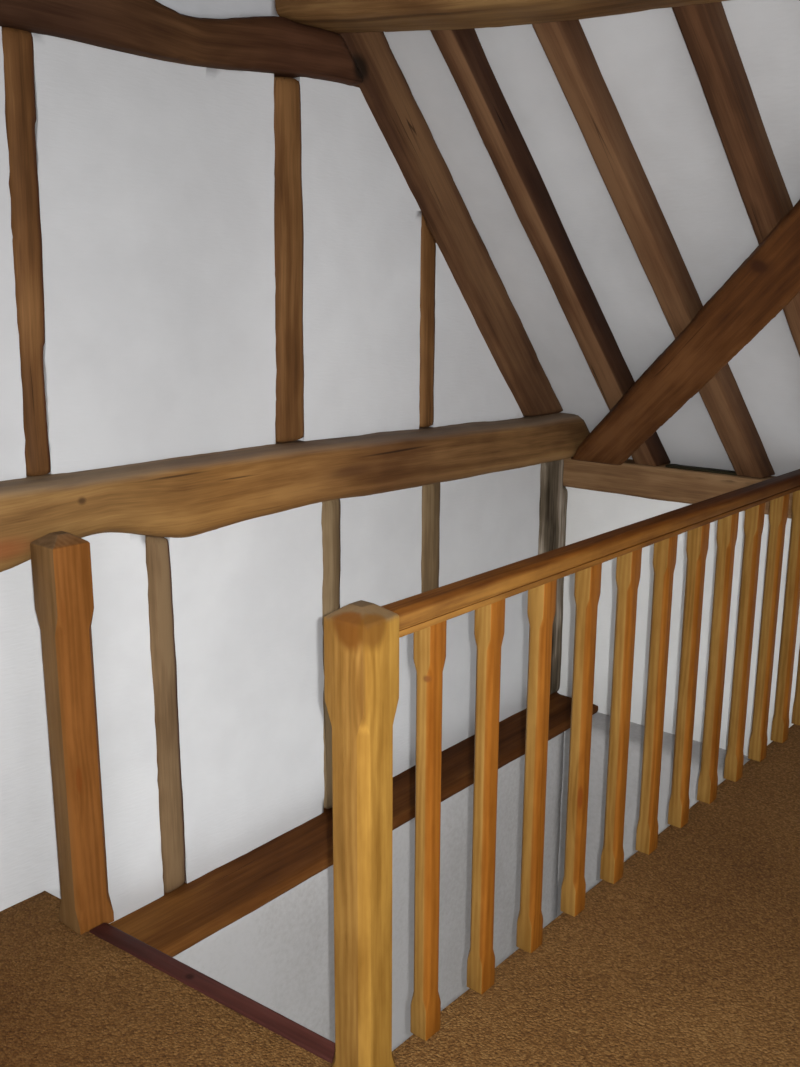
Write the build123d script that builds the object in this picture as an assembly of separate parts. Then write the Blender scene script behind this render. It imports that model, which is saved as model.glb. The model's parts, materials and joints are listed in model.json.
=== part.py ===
"""End bay of a converted timber-framed barn, from the ground to the ridge.

Millimetres, +Z up, +X along the gable, +Y into the gable wall.
The origin is on the ground, under the middle of the bay.
"""
from build123d import *
from math import ceil, cos, pi, radians, sin, tan
import os

# Overall driving dimensions
half_span = 2500            # middle of the barn to the inner face of a wall plate
storey_height = 2400        # ground to the finished loft floor
roof_pitch = 48             # degrees
knee_height = 675           # loft floor to the underside of the wall plates

# Walls
frame_depth = 150           # thickness of the timber-framed walls
masonry_thickness = 310     # thickness of the ground-storey walls
infill_recess = 12          # outer plaster stands back from the outer timber faces
plate_proud = 30            # wall plate proud of the eaves wall's inner face

# Wall plates
plate_width = 150
plate_depth = 123
packing_width = 46
packing_thickness = 10
packing_gap = 22            # packing short of the first common rafter's foot
packing_inset = 8

# Roof timbers
rafter_width = 75           # at the purlins
rafter_taper = 20           # how much wider a common rafter is at its foot
rafter_depth = 85
rafter_pitch = 328.75       # spacing of the common rafters at the purlins, centre to centre
rafter_count = 9            # common rafters on each slope
rafter_rack = 192           # how far the feet at mid-bay stand out from under their heads
first_rafter_gap = 246      # gable plaster to the first common rafter, at the purlins
second_rafter_stray = 30    # second common rafter's head nearer the gable than its place in the row
gable_rafter_foot_depth = 182
gable_rafter_head_depth = 130
gable_rafter_proud = 36
eaves_overhang = 160        # roof lining past the outer face of the plate
lining_thickness = 20
covering_thickness = 55
verge_overhang = 60
covering_lap = 20           # covering past the lining
ridge_tile_radius = 125
ridge_tile_thickness = 18
ridge_tile_drop = 70

# Tie beam
tie_proud = 108
tie_edge_radius = 40

# Collars
collar_underside = 1943     # loft floor to the underside of the collar at the purlins
collar_depth = 132
collar_proud = 46
collar_tail = 240           # collar past the purlin, into the rafter
collar_edge_radius = 14
near_collar_width = 100

# Purlins
purlin_width = 230
purlin_depth = 150
purlin_seat = 88            # flat along the slope, where the rafters bear
purlin_bow = 120            # how far a purlin sags down the slope at mid-bay
purlin_in_wall = 60
purlin_edge_radius = 32

# Wind braces
brace_width = 160
brace_thickness = 60
brace_foot_gap = 134        # gable plaster to the middle of the brace's foot
brace_angle = 46            # degrees from the plate, in the plane of the roof

# Studs and posts
stud_proud = 12
post_width = 305
post_proud = 16

# Ledge and floor
ledge_drop = 173            # loft floor down to the top of the ledge
ledge_thickness = 37
ledge_projection = 200      # ledge in front of the gable plaster
carpet_thickness = 8
board_thickness = 22
joist_width = 75
joist_spacing = 410         # at most, centre to centre
joist_from_plate = 40       # wall plate's inner face to the middle of the outermost joist
joist_end_gap = 20          # joist ends short of the gable plaster
trimmer_width = 100
beam_width = 200
beam_depth = 220
beam_bearing = 150

# Stairwell
well_left = 240             # middle of the barn to the stairwell's edge, at the gable
well_skew = 92              # how much further over that edge is at the guard
well_width = 986            # gable plaster to the stairwell's edge under the guard

# Nosing
nosing_width = 46
nosing_lift = 4             # top of the nosing above the carpet

# Guard
newel_width = 87
newel_height = 907
newel_head = 165            # square head above the chamfers
newel_chamfer = 11
newel_cap = 20
newel_cap_radius = 7
newel_foot = 15             # square foot below the chamfers
chamfer_stop = 4            # length of a chamfer's run-out, in widths of its cut
wall_newel_from_gable = 134
wall_newel_in_well = 27     # wall newel past the stairwell's edge
stair_newel_from_well = 5   # stair newel short of the stairwell's edge
guard_set_back = 12         # stairwell's edge to the middle of the guard
handrail_width = 58
handrail_depth = 46
handrail_top = 884
handrail_cap_depth = 31     # domed upper part of the rail
handrail_cap_radius = 17
handrail_neck_depth = 4
handrail_neck_width = 44
handrail_base_width = 52
handrail_base_radius = 3
baluster_width = 46
baluster_depth = 40
baluster_pitch = 180.4
baluster_first_gap = 111    # stair newel to the first baluster
baluster_chamfer = 7
baluster_head = 70
baluster_foot = 60

# Places worked out from the sizes above
pitch = radians(roof_pitch)
bay_length = first_rafter_gap + (rafter_count - 1) * rafter_pitch + rafter_width
near_y = -(bay_length + frame_depth + verge_overhang) / 2
gable_y = near_y + bay_length
outer_y = gable_y + frame_depth
verge_y = outer_y + verge_overhang
outer_x = half_span + plate_width
eaves_face_x = half_span + plate_proud
masonry_x = outer_x - masonry_thickness
masonry_y = outer_y - masonry_thickness
ledge_top = storey_height - ledge_drop
ledge_bottom = ledge_top - ledge_thickness
plate_bottom = storey_height + knee_height
plate_top = plate_bottom + plate_depth
board_top = storey_height - carpet_thickness
board_bottom = board_top - board_thickness
collar_bottom = storey_height + collar_underside
collar_top = collar_bottom + collar_depth
well_y = gable_y - well_width
guard_y = well_y - guard_set_back
post_inner_x = outer_x - post_width
ridge_z = plate_top + half_span * tan(pitch)
purlin_top_z = collar_top + purlin_depth
purlin_seat_x = (ridge_z - purlin_top_z) / tan(pitch)
purlin_outer_x = purlin_seat_x + purlin_seat * cos(pitch)
purlin_inner_x = purlin_outer_x - purlin_width
rafter_rise = (collar_top - plate_top) / sin(pitch)
joist_reach = half_span - joist_from_plate
joist_bays = ceil(2 * joist_reach / joist_spacing)


def block(x0, x1, y0, y1, z0, z1):
    """A plain squared piece between two corners."""
    return Pos((x0 + x1) / 2, (y0 + y1) / 2, (z0 + z1) / 2) * Box(x1 - x0, y1 - y0, z1 - z0)


def slope_point(across, depth):
    """A point (X, Z) on the right slope: across from the middle, depth outward from the rafter soffits."""
    return across + depth * sin(pitch), ridge_z - across * tan(pitch) + depth * cos(pitch)


def gable_outline(points, y0, y1):
    """A flat outline in the gable's plane, given as (X, Z) points, run from y0 to y1."""
    face = make_face(Polyline(*[(x, 0, z) for x, z in points], close=True))
    return Pos(0, y0, 0) * extrude(face, amount=y1 - y0, dir=(0, 1, 0))


def slope_slab(depth0, depth1, foot, y0, y1):
    """A slab on the right slope from the plumb cut at the ridge down to a foot square to the slope."""
    foot_x0, foot_z0 = slope_point(foot, depth0)
    foot_x1, foot_z1 = slope_point(foot, depth1)
    top0 = ridge_z + depth0 / cos(pitch)
    top1 = ridge_z + depth1 / cos(pitch)
    return gable_outline([(0, top0), (foot_x0, foot_z0), (foot_x1, foot_z1), (0, top1)], y0, y1)


def mirrored(shape):
    """The left-hand mate of a right-hand piece."""
    return mirror(shape, about=Plane.YZ)


def hewn(top, bottom, y0, y1, radius):
    """A squared timber across the gable with curved upper and lower edges and worn front arrises."""
    upper = Spline(*[(x, 0, z) for x, z in top])
    lower = Spline(*[(x, 0, z) for x, z in bottom])
    ends = [Line(upper @ 0, lower @ 0), Line(upper @ 1, lower @ 1)]
    timber = Pos(0, y0, 0) * extrude(make_face([upper, lower, *ends]), amount=y1 - y0, dir=(0, 1, 0))
    front = timber.faces().sort_by(Axis.Y)[0]
    worn = [e for e in front.edges() if e.length > (y1 - y0) * 2]
    return fillet(worn, radius)


def save(name, shape):
    """Write one piece under its own name."""
    export_step(shape, f"parts/{name}.step")


os.makedirs("parts", exist_ok=True)

# Ground storey
side_wall = block(masonry_x, outer_x, near_y, outer_y, 0, ledge_bottom)
gable_wall = block(-masonry_x, masonry_x, masonry_y, outer_y, 0, ledge_bottom)
beam = block(-masonry_x - beam_bearing, masonry_x + beam_bearing, near_y, near_y + beam_width,
             ledge_top - beam_depth, ledge_top)
side_wall -= beam
save("ground_side_wall_right", side_wall)
save("ground_side_wall_left", mirrored(side_wall))
save("ground_gable_wall", gable_wall)
save("bridging_beam", beam)

# Sole ledge of the gable frame
ledge = block(-outer_x, outer_x, gable_y, outer_y, ledge_bottom, ledge_top)
ledge += block(-eaves_face_x, eaves_face_x, gable_y - ledge_projection, gable_y, ledge_bottom, ledge_top)
save("sill_ledge", ledge)

# Wall plates and the packing on the right one
right_roof_space = gable_outline(
    [(0, 0), (outer_x + eaves_overhang, 0), slope_point(outer_x + eaves_overhang, rafter_depth),
     (0, ridge_z + rafter_depth / cos(pitch))], near_y, outer_y)
roof_space = right_roof_space + mirrored(right_roof_space)
plate = block(half_span, outer_x, near_y, outer_y, plate_bottom, plate_top) & right_roof_space
save("wall_plate_right", plate)
save("wall_plate_left", mirrored(plate))

# Tie beam: its edges as shares of the half span and rises above the underside at its ends
tie_upper_edge = [(-0.52, 190), (0, 198), (0.44, 197), (0.64, 184)]
tie_lower_edge = [(-0.99, 4), (-0.48, 14), (-0.08, 8), (0.056, 14), (0.176, 58), (0.256, 8), (0.3, 12),
                  (0.4, 27), (0.6, 18), (0.99, 4)]
tie_end_depth = 172
tie_rise = max(rise for share, rise in tie_upper_edge)
tie_top = [(share * half_span, plate_top + rise) for share, rise in tie_upper_edge]
tie_underside = [(share * half_span, plate_top + rise) for share, rise in tie_lower_edge]
tie = hewn(
    [(-outer_x, plate_top + tie_end_depth), *tie_top, (outer_x, plate_top + tie_end_depth)],
    [(-outer_x, plate_top), *tie_underside, (outer_x, plate_top)],
    gable_y - tie_proud, outer_y, tie_edge_radius)
plates = plate + mirrored(plate)
tie = ((tie - plates) & roof_space).solids().sort_by(SortBy.VOLUME)[-1]
save("tie_beam", tie)

# Collar: its edges between the purlins, as shares of the way out to them, above its top and underside there
collar_upper_edge = [(-0.57, -28), (0, -6), (0.57, -14), (0.69, -50), (0.82, -40)]
collar_lower_edge = [(-0.86, -10), (0, -26), (0.35, -20), (0.73, -22), (0.9, -8)]
collar_end = purlin_outer_x + collar_tail
collar_seats = [(purlin_inner_x, collar_top), (purlin_outer_x, collar_top), (collar_end, collar_top)]
collar = hewn(
    [*[(-x, z) for x, z in reversed(collar_seats)],
     *[(share * purlin_inner_x, collar_top + rise) for share, rise in collar_upper_edge], *collar_seats],
    [(-collar_end, collar_bottom),
     *[(share * purlin_inner_x, collar_bottom + rise) for share, rise in collar_lower_edge],
     (collar_end, collar_bottom)],
    gable_y - collar_proud, outer_y, collar_edge_radius)


def purlin_section(y):
    """The purlin's worn section where it crosses y, slid down the slope by the bow."""
    from_middle = (y - (near_y + gable_y) / 2) / (bay_length / 2)
    slide = purlin_bow * (1 - from_middle ** 2)
    face = make_face(Polyline(
        (purlin_inner_x, 0, collar_top), (purlin_outer_x, 0, collar_top),
        (purlin_outer_x, 0, purlin_top_z - purlin_seat * sin(pitch)), (purlin_seat_x, 0, purlin_top_z),
        (purlin_inner_x, 0, purlin_top_z), close=True))
    worn = [*face.vertices().group_by(Axis.X)[0], *face.vertices().group_by(Axis.Z)[0].sort_by(Axis.X)[-1:]]
    return Pos(slide * cos(pitch), y, -slide * sin(pitch)) * fillet(worn, purlin_edge_radius)


purlin_stations = 7
purlin_end = gable_y + purlin_in_wall
purlin = loft([purlin_section(near_y + (purlin_end - near_y) * i / (purlin_stations - 1))
               for i in range(purlin_stations)])
save("purlin_right", purlin)
save("purlin_left", mirrored(purlin))
purlins = [purlin, mirrored(purlin)]

# Gable rafters, deeper at the foot, and the collar cut to fit between them
gable_soffit_foot = slope_point(half_span, rafter_depth - gable_rafter_foot_depth)
gable_soffit_head = (0, ridge_z + (rafter_depth - gable_rafter_head_depth) / cos(pitch))
rafter_blank = gable_outline(
    [gable_soffit_head, gable_soffit_foot, slope_point(half_span, rafter_depth),
     (0, ridge_z + rafter_depth / cos(pitch))], gable_y - gable_rafter_proud, outer_y)
gable_rafters = [(blank - [tie, *purlins]).solids().sort_by(SortBy.VOLUME)[-1]
                 for blank in (rafter_blank, mirrored(rafter_blank))]
save("gable_rafter_right", gable_rafters[0])
save("gable_rafter_left", gable_rafters[1])

under_rafters = gable_outline([(0, 0), (half_span, 0), gable_soffit_foot, gable_soffit_head], near_y, outer_y)
under_rafters += mirrored(under_rafters)
collar = ((collar & under_rafters) - purlins).solids().sort_by(SortBy.VOLUME)[-1]
save("collar", collar)

# Common rafters: they stand on the plate and lean, most at mid-bay, up to the gable as they rise
plate_corner_x, plate_corner_z = slope_point(half_span, 0)
roof_plane = Plane(origin=(plate_corner_x, gable_y, plate_corner_z), x_dir=(-cos(pitch), 0, sin(pitch)),
                   z_dir=(sin(pitch), 0, cos(pitch)))
rafter_layer = slope_slab(0, rafter_depth, outer_x, near_y, gable_y)
rafter_layer -= block(half_span - plate_width, outer_x + plate_width, near_y, gable_y, 0, plate_top)
rafter_heads = [first_rafter_gap + rafter_width / 2 + i * rafter_pitch for i in range(rafter_count)]
rafter_feet = [out + rafter_rack * sin(pi * (i + 1) / rafter_count) for i, out in enumerate(rafter_heads)]
rafter_heads[1] -= second_rafter_stray


def rafter_side(head, foot, up, side):
    """A point on a rafter's side: up the slope from the plate, and out from the gable."""
    share = up / rafter_rise
    width = rafter_width + rafter_taper * (1 - share)
    return up, foot + (head - foot) * share + side * width / 2


def common_rafter(head, foot):
    """A tapering rafter from the plate to the ridge, through its two places out from the gable."""
    low = -(plate_width + rafter_depth) / cos(pitch)
    high = (half_span + rafter_depth) / cos(pitch)
    outline = [rafter_side(head, foot, up, side) for up, side in ((low, -1), (low, 1), (high, 1), (high, -1))]
    blank = extrude(roof_plane * make_face(Polyline(*outline, close=True)), amount=rafter_depth)
    return (blank & rafter_layer).solids().sort_by(SortBy.VOLUME)[-1]


common_rafters = Compound(children=[common_rafter(*ends) for ends in zip(rafter_heads, rafter_feet)])
save("common_rafters_right", common_rafters)
save("common_rafters_left", mirrored(common_rafters))

# The collar that carries the purlins at the open end
near_collar = block(-half_span, half_span, near_y + rafter_width, near_y + rafter_width + near_collar_width,
                    collar_bottom, collar_top)
near_collar = (near_collar & roof_space) - [*purlins, common_rafters, mirrored(common_rafters)]
near_collar = near_collar.solids().sort_by(SortBy.VOLUME)[-1]
save("near_collar", near_collar)

# Wind braces, flat against the rafter soffits from plate to purlin
lean = radians(brace_angle)
foot_half = brace_width / 2 / sin(lean)
brace_reach = half_span / cos(pitch)
head_out = brace_foot_gap + brace_reach / tan(lean)
brace = extrude(roof_plane * make_face(Polyline(
    (0, brace_foot_gap - foot_half), (0, brace_foot_gap + foot_half), (brace_reach, head_out + foot_half),
    (brace_reach, head_out - foot_half), close=True)), amount=-brace_thickness)
brace -= [purlin, block(0, half_span, near_y, gable_y, 0, plate_top)]
braces = [(blank - tie).solids().sort_by(Axis.Z)[0] for blank in (brace, mirrored(brace))]
save("wind_brace_right", braces[0])
save("wind_brace_left", braces[1])

# Roof lining, covering and ridge
lining = slope_slab(rafter_depth, rafter_depth + lining_thickness, outer_x + eaves_overhang, near_y, outer_y)
covering_base = rafter_depth + lining_thickness
covering_top = covering_base + covering_thickness
covering = slope_slab(covering_base, covering_top, outer_x + eaves_overhang + covering_lap, near_y, verge_y)
save("roof_lining_right", lining)
save("roof_lining_left", mirrored(lining))
save("roof_covering_right", covering)
save("roof_covering_left", mirrored(covering))
ridge_centre_z = ridge_z + covering_top / cos(pitch) - ridge_tile_drop
ridge_tiles = Pos(0, (near_y + verge_y) / 2, ridge_centre_z) * Rot(90, 0, 0) * (
    Cylinder(ridge_tile_radius, verge_y - near_y)
    - Cylinder(ridge_tile_radius - ridge_tile_thickness, verge_y - near_y))
ridge_tiles = (ridge_tiles - covering - mirrored(covering)).solids().sort_by(Axis.Z)[-1]
save("ridge_tiles", ridge_tiles)

# Low walls under the plates, and the corner posts
eaves_wall = block(eaves_face_x, outer_x, near_y, gable_y, ledge_bottom, plate_bottom)
save("eaves_wall_right", eaves_wall)
save("eaves_wall_left", mirrored(eaves_wall))
post = block(post_inner_x, outer_x, gable_y - post_proud, outer_y, ledge_top, plate_bottom) - eaves_wall
post += block(post_inner_x, half_span, gable_y - post_proud, outer_y, plate_bottom, plate_top + tie_rise / 2)
posts = [(blank - tie).solids().sort_by(Axis.Z)[0] for blank in (post, mirrored(post))]
save("corner_post_right", posts[0])
save("corner_post_left", posts[1])

# Studs: middle and width at the foot, then at the head
lower_stud_sizes = [(0, 84, 0, 78), (615, 79, 614, 70), (1225, 80, 1229, 78), (1692, 94, 1696, 91)]
upper_stud_sizes = [(302, 60, 334, 74), (1070, 110, 1087, 90), (1670, 76, 1670, 73)]
tie_middle = plate_top + tie_rise / 2


def stud(foot, foot_width, head, head_width, z0, z1):
    """One upright of the gable, from z0 to z1, not quite plumb and a little wider at one end."""
    return gable_outline([(foot - foot_width / 2, z0), (foot + foot_width / 2, z0),
                          (head + head_width / 2, z1), (head - head_width / 2, z1)],
                         gable_y - stud_proud, outer_y)


def both_sides(sizes):
    """The studs right of the middle with their left-hand mates; one on the middle is kept once."""
    return sizes + [(-foot, foot_width, -head, head_width)
                    for foot, foot_width, head, head_width in sizes if foot > 0]


lower_studs = [(stud(*size, ledge_top, tie_middle) - tie).solids().sort_by(Axis.Z)[0]
               for size in both_sides(lower_stud_sizes)]
upper_studs = [(stud(*size, tie_middle, collar_top) - [tie, collar, *gable_rafters]).solids().sort_by(Axis.Z)[0]
               for size in both_sides(upper_stud_sizes)]
save("lower_studs", Compound(children=lower_studs))
save("upper_studs", Compound(children=upper_studs))

# Plaster panels, scribed to the timbers
panel_y = outer_y - infill_recess
smallest_panel = 1.0e6
lower_panels = block(-post_inner_x, post_inner_x, gable_y, panel_y, ledge_top, tie_middle)
lower_panels -= [*lower_studs, tie]
lower_panels = [s for s in lower_panels.solids() if s.volume > smallest_panel and s.center().Z < plate_top]
save("lower_infill", Compound(children=lower_panels))
mid_rafter = rafter_depth - gable_rafter_head_depth / 2
field_top = ridge_z + mid_rafter / cos(pitch)
field_half = (field_top - tie_middle) / tan(pitch)
gable_field = gable_outline(
    [(-field_half, tie_middle), (field_half, tie_middle), (0, field_top)], gable_y, panel_y)
gable_panels = gable_field - [tie, collar, *gable_rafters, *upper_studs, *purlins]
gable_panels = [s for s in gable_panels.solids() if s.volume > smallest_panel]
upper_panels = [s for s in gable_panels if s.center().Z < collar_top]
apex_panels = [s for s in gable_panels if s.center().Z > collar_top]
save("upper_infill", Compound(children=upper_panels))
save("apex_infill", Compound(children=apex_panels))

# Loft floor: joists from the beam to the ledge, trimmed round the stairwell
joist_end_y = gable_y - joist_end_gap
well_right = eaves_face_x


def plan_outline(points, z0, z1):
    """A flat outline in plan, given as (X, Y) points, from z0 to z1."""
    return Pos(0, 0, z0) * extrude(make_face(Polyline(*points, close=True)), amount=z1 - z0, dir=(0, 0, 1))


def well_edge(y, back=0):
    """A point on the stairwell's skewed edge at y, or so far back from it on the landing."""
    return well_left + well_skew * (gable_y - y) / well_width - back, y


landing_trimmer = plan_outline(
    [well_edge(near_y, trimmer_width), well_edge(near_y), well_edge(joist_end_y),
     well_edge(joist_end_y, trimmer_width)], ledge_top, board_bottom)
stair_trimmer = block(well_left, well_right, well_y - trimmer_width, well_y, ledge_bottom, board_bottom)
stair_trimmer -= landing_trimmer
stair_trimmer = stair_trimmer.solids().sort_by(SortBy.VOLUME)[-1]
save("landing_trimmer", landing_trimmer)
save("stair_trimmer", stair_trimmer)
joists = []
for i in range(joist_bays + 1):
    x = joist_reach * (2 * i / joist_bays - 1)
    end_y = well_y - trimmer_width if x > well_left else joist_end_y
    joist = block(x - joist_width / 2, x + joist_width / 2, near_y, end_y, ledge_top, board_bottom)
    joists.append((joist - landing_trimmer).solids().sort_by(SortBy.VOLUME)[-1])
save("floor_joists", Compound(children=joists))

well = plan_outline([well_edge(well_y), (well_right, well_y), (well_right, gable_y), well_edge(gable_y)],
                    ledge_top, storey_height + newel_height)
nosing_back_y = gable_y - wall_newel_from_gable - newel_width
nosing_front_y = guard_y + newel_width / 2
nosing = plan_outline(
    [well_edge(nosing_front_y, nosing_width), well_edge(nosing_front_y), well_edge(nosing_back_y),
     well_edge(nosing_back_y, nosing_width)], board_bottom, storey_height + nosing_lift)
save("landing_nosing", nosing)


def newel(x0, y0):
    """A square post with a square head, stop-chamfered below it, under a worn pyramid cap."""
    top = storey_height + newel_height
    post = block(x0, x0 + newel_width, y0, y0 + newel_width, board_top, top)
    post = chamfer(post.faces().sort_by(Axis.Z)[-1].edges(), newel_cap, newel_width / 3)
    worn = [e for e in post.edges() if e.bounding_box().min.Z > top - newel_cap - 1]
    post = fillet(worn, newel_cap_radius)
    low, high = storey_height + newel_foot, top - newel_head
    return stop_chamfered(post, x0, y0, newel_width, newel_width, low, high, newel_chamfer)


def stop_chamfered(post, x0, y0, width, depth, low, high, cut):
    """Take the four arrises off a post between two heights, each chamfer run out to a point."""
    reach = cut * chamfer_stop
    notch = Polyline((0, 0, low), (-cut, 0, low + reach), (-cut, 0, high - reach), (0, 0, high), (cut, 0, high),
                     (cut, 0, low), close=True)
    tool = Pos(0, -reach, 0) * extrude(make_face(notch), amount=2 * reach, dir=(0, 1, 0))
    corners = [(x0 + width, y0 + depth, 45), (x0, y0 + depth, 135), (x0, y0, 225), (x0 + width, y0, 315)]
    for x, y, turn in corners:
        post -= Pos(x, y, 0) * Rot(0, 0, turn) * tool
    return post


stair_newel_x = well_edge(guard_y)[0] - stair_newel_from_well - newel_width
wall_newel_x = well_edge(nosing_back_y + newel_width / 2)[0] + wall_newel_in_well - newel_width
stair_newel = newel(stair_newel_x, guard_y - newel_width / 2)
wall_newel = newel(wall_newel_x, nosing_back_y)
save("wall_newel", wall_newel)
save("stair_newel", stair_newel)

under_soffits = gable_outline([(0, 0), (outer_x, 0), slope_point(outer_x, 0), (0, ridge_z)], near_y, outer_y)
handrail_z = storey_height + handrail_top
rail_start = stair_newel_x + newel_width
base_depth = handrail_depth - handrail_cap_depth - handrail_neck_depth
cap_profile = Rectangle(handrail_width, handrail_cap_depth, align=(Align.CENTER, Align.MAX))
cap_profile = fillet(cap_profile.vertices().group_by(Axis.Y)[-1], handrail_cap_radius)
cap_profile = fillet(cap_profile.vertices().group_by(Axis.Y)[0], handrail_base_radius)
neck_profile = Pos(0, -handrail_cap_depth) * Rectangle(
    handrail_neck_width, handrail_neck_depth, align=(Align.CENTER, Align.MAX))
base_profile = Pos(0, -handrail_cap_depth - handrail_neck_depth) * Rectangle(
    handrail_base_width, base_depth, align=(Align.CENTER, Align.MAX))
rail_end = Plane(origin=(rail_start, guard_y, handrail_z), x_dir=(0, 1, 0), z_dir=(1, 0, 0))
handrail = extrude(rail_end * (cap_profile + neck_profile + base_profile), amount=half_span - rail_start)
handrail &= under_soffits
save("handrail", handrail)

balusters = []
first_baluster_x = rail_start + baluster_first_gap
baluster_bays = int((half_span - baluster_width - first_baluster_x) / baluster_pitch)
for i in range(baluster_bays + 1):
    x = first_baluster_x + i * baluster_pitch
    low, high = storey_height, handrail_z - handrail_depth
    y = guard_y - baluster_depth / 2
    bar = block(x, x + baluster_width, y, y + baluster_depth, low, high)
    bar = stop_chamfered(bar, x, y, baluster_width, baluster_depth, low + baluster_foot, high - baluster_head,
                         baluster_chamfer)
    balusters.append((bar & under_soffits).solids().sort_by(SortBy.VOLUME)[-1])
save("balusters", Compound(children=balusters))

wall_timbers = [*lower_studs, *posts]
boards = block(-eaves_face_x, eaves_face_x, near_y, gable_y, board_bottom, board_top)
boards = boards - [well, nosing, *wall_timbers]
save("floor_boards", boards)
carpet = block(-eaves_face_x, eaves_face_x, near_y, gable_y, board_top, storey_height)
carpet = carpet - [well, nosing, wall_newel, stair_newel, *wall_timbers]
save("carpet", carpet)

packing_start = rafter_side(rafter_heads[0], rafter_feet[0], 0, 1)[1] + packing_gap
packing = block(half_span + packing_inset, half_span + packing_inset + packing_width,
                gable_y - rafter_feet[1], gable_y - packing_start, plate_top, plate_top + packing_thickness)
packing = (packing - common_rafters).solids().sort_by(SortBy.VOLUME)[-1]
save("plate_packing", packing)
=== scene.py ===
"""Looks of the end bay of a converted timber-framed barn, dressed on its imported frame.

Everything is in metres, in the frame's own axes: +X along the gable, +Y into the gable wall and +Z up,
with the origin on the ground under the middle of the bay.
"""
from __future__ import annotations

import json
import logging
import math
from contextlib import contextmanager
from dataclasses import dataclass, field
from enum import Enum
from typing import Iterator, Sequence

import bpy
import numpy as np
from mathutils import Euler, Matrix, Vector, noise
from mathutils.bvhtree import BVHTree

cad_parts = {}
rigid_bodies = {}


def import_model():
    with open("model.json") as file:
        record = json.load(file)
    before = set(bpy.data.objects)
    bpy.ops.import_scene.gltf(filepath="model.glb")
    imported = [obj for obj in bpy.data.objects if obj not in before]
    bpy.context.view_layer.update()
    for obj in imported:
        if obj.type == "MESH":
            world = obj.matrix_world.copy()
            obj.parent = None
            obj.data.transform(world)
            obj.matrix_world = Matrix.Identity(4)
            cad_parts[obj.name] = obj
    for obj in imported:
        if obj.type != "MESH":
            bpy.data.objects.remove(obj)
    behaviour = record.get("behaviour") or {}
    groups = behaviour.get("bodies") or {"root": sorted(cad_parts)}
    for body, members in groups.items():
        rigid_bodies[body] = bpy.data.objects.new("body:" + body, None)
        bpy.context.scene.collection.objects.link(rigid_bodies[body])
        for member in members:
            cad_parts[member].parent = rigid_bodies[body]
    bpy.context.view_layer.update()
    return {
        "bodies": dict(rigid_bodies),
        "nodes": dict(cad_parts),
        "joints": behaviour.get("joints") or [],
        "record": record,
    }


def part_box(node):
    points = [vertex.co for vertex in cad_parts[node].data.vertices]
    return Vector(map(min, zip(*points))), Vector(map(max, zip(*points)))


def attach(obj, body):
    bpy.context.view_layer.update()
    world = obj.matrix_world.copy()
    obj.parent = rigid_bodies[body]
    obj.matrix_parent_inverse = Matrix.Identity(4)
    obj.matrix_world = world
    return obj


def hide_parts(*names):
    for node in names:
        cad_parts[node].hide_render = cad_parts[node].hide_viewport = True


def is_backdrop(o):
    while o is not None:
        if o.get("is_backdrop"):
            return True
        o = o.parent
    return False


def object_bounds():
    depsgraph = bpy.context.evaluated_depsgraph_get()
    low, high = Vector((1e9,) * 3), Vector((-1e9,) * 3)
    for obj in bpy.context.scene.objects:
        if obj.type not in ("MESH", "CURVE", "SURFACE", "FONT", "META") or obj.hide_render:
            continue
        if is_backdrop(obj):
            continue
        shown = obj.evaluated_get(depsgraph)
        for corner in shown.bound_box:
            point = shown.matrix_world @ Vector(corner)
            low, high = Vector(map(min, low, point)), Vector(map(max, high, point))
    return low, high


Colour = tuple[float, float, float]
Point = tuple[float, float, float]
Tints = tuple[tuple[float, Colour], ...]

BODY = "root"
MERGE_GAP = 0.00002
FACE_GAP = 0.0005
CREASE = math.radians(25)
SMOOTH_ANGLE = math.radians(35)
BLUNT_ANGLE = math.radians(60)
FLAT_ANGLE = math.radians(0.5)
SLOPE = math.radians(48)
GRAIN_STEP = 0.20
GRAIN_SHIFT = 9.0
SEED = 12

log = logging.getLogger("barn")


class Side(Enum):
    """The two sides of the barn, each with the sign of its X."""

    RIGHT = 1.0
    LEFT = -1.0

    def mate(self, name: str) -> str:
        """The name of this side's piece of a pair."""
        return f"{name}_{self.name.lower()}"

    def down(self) -> Point:
        """The way down this side's roof slope."""
        return (self.value * math.cos(SLOPE), 0.0, -math.sin(SLOPE))


class Value:
    """A socket inside a material, used in arithmetic; each operation adds its Math node."""

    def __init__(self, recipe: "Recipe", socket: bpy.types.NodeSocket) -> None:
        """Keep the socket and the recipe that it belongs to."""
        self.recipe = recipe
        self.socket = socket

    def _math(self, operation: str, *others: "Value | float") -> "Value":
        """Join this value and others through one Math node."""
        node = self.recipe.node("ShaderNodeMath", {"operation": operation},
                                dict(enumerate((self, *others))))
        return Value(self.recipe, node.outputs[0])

    def __add__(self, other: "Value | float") -> "Value":
        """Sum."""
        return self._math("ADD", other)

    def __mul__(self, other: "Value | float") -> "Value":
        """Product."""
        return self._math("MULTIPLY", other)

    def __sub__(self, other: "Value | float") -> "Value":
        """Difference."""
        return self._math("SUBTRACT", other)

    def __rsub__(self, other: float) -> "Value":
        """A number less this value."""
        return (self * -1.0) + other

    def __truediv__(self, other: "Value | float") -> "Value":
        """Quotient."""
        return self._math("DIVIDE", other)

    __radd__ = __add__
    __rmul__ = __mul__

    def sine(self) -> "Value":
        """Sine of this value, in radians."""
        return self._math("SINE")

    def size(self) -> "Value":
        """This value without its sign."""
        return self._math("ABSOLUTE")

    def power(self, exponent: float) -> "Value":
        """This value raised to a power."""
        return self._math("POWER", exponent)

    def above(self, low: float, high: float) -> "Value":
        """0 below low, 1 above high, smooth between them; the other way round if low is the larger."""
        node = self.recipe.node("ShaderNodeMapRange", {"interpolation_type": "SMOOTHSTEP"},
                                {"Value": self, "From Min": low, "From Max": high})
        return Value(self.recipe, node.outputs[0])


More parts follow.
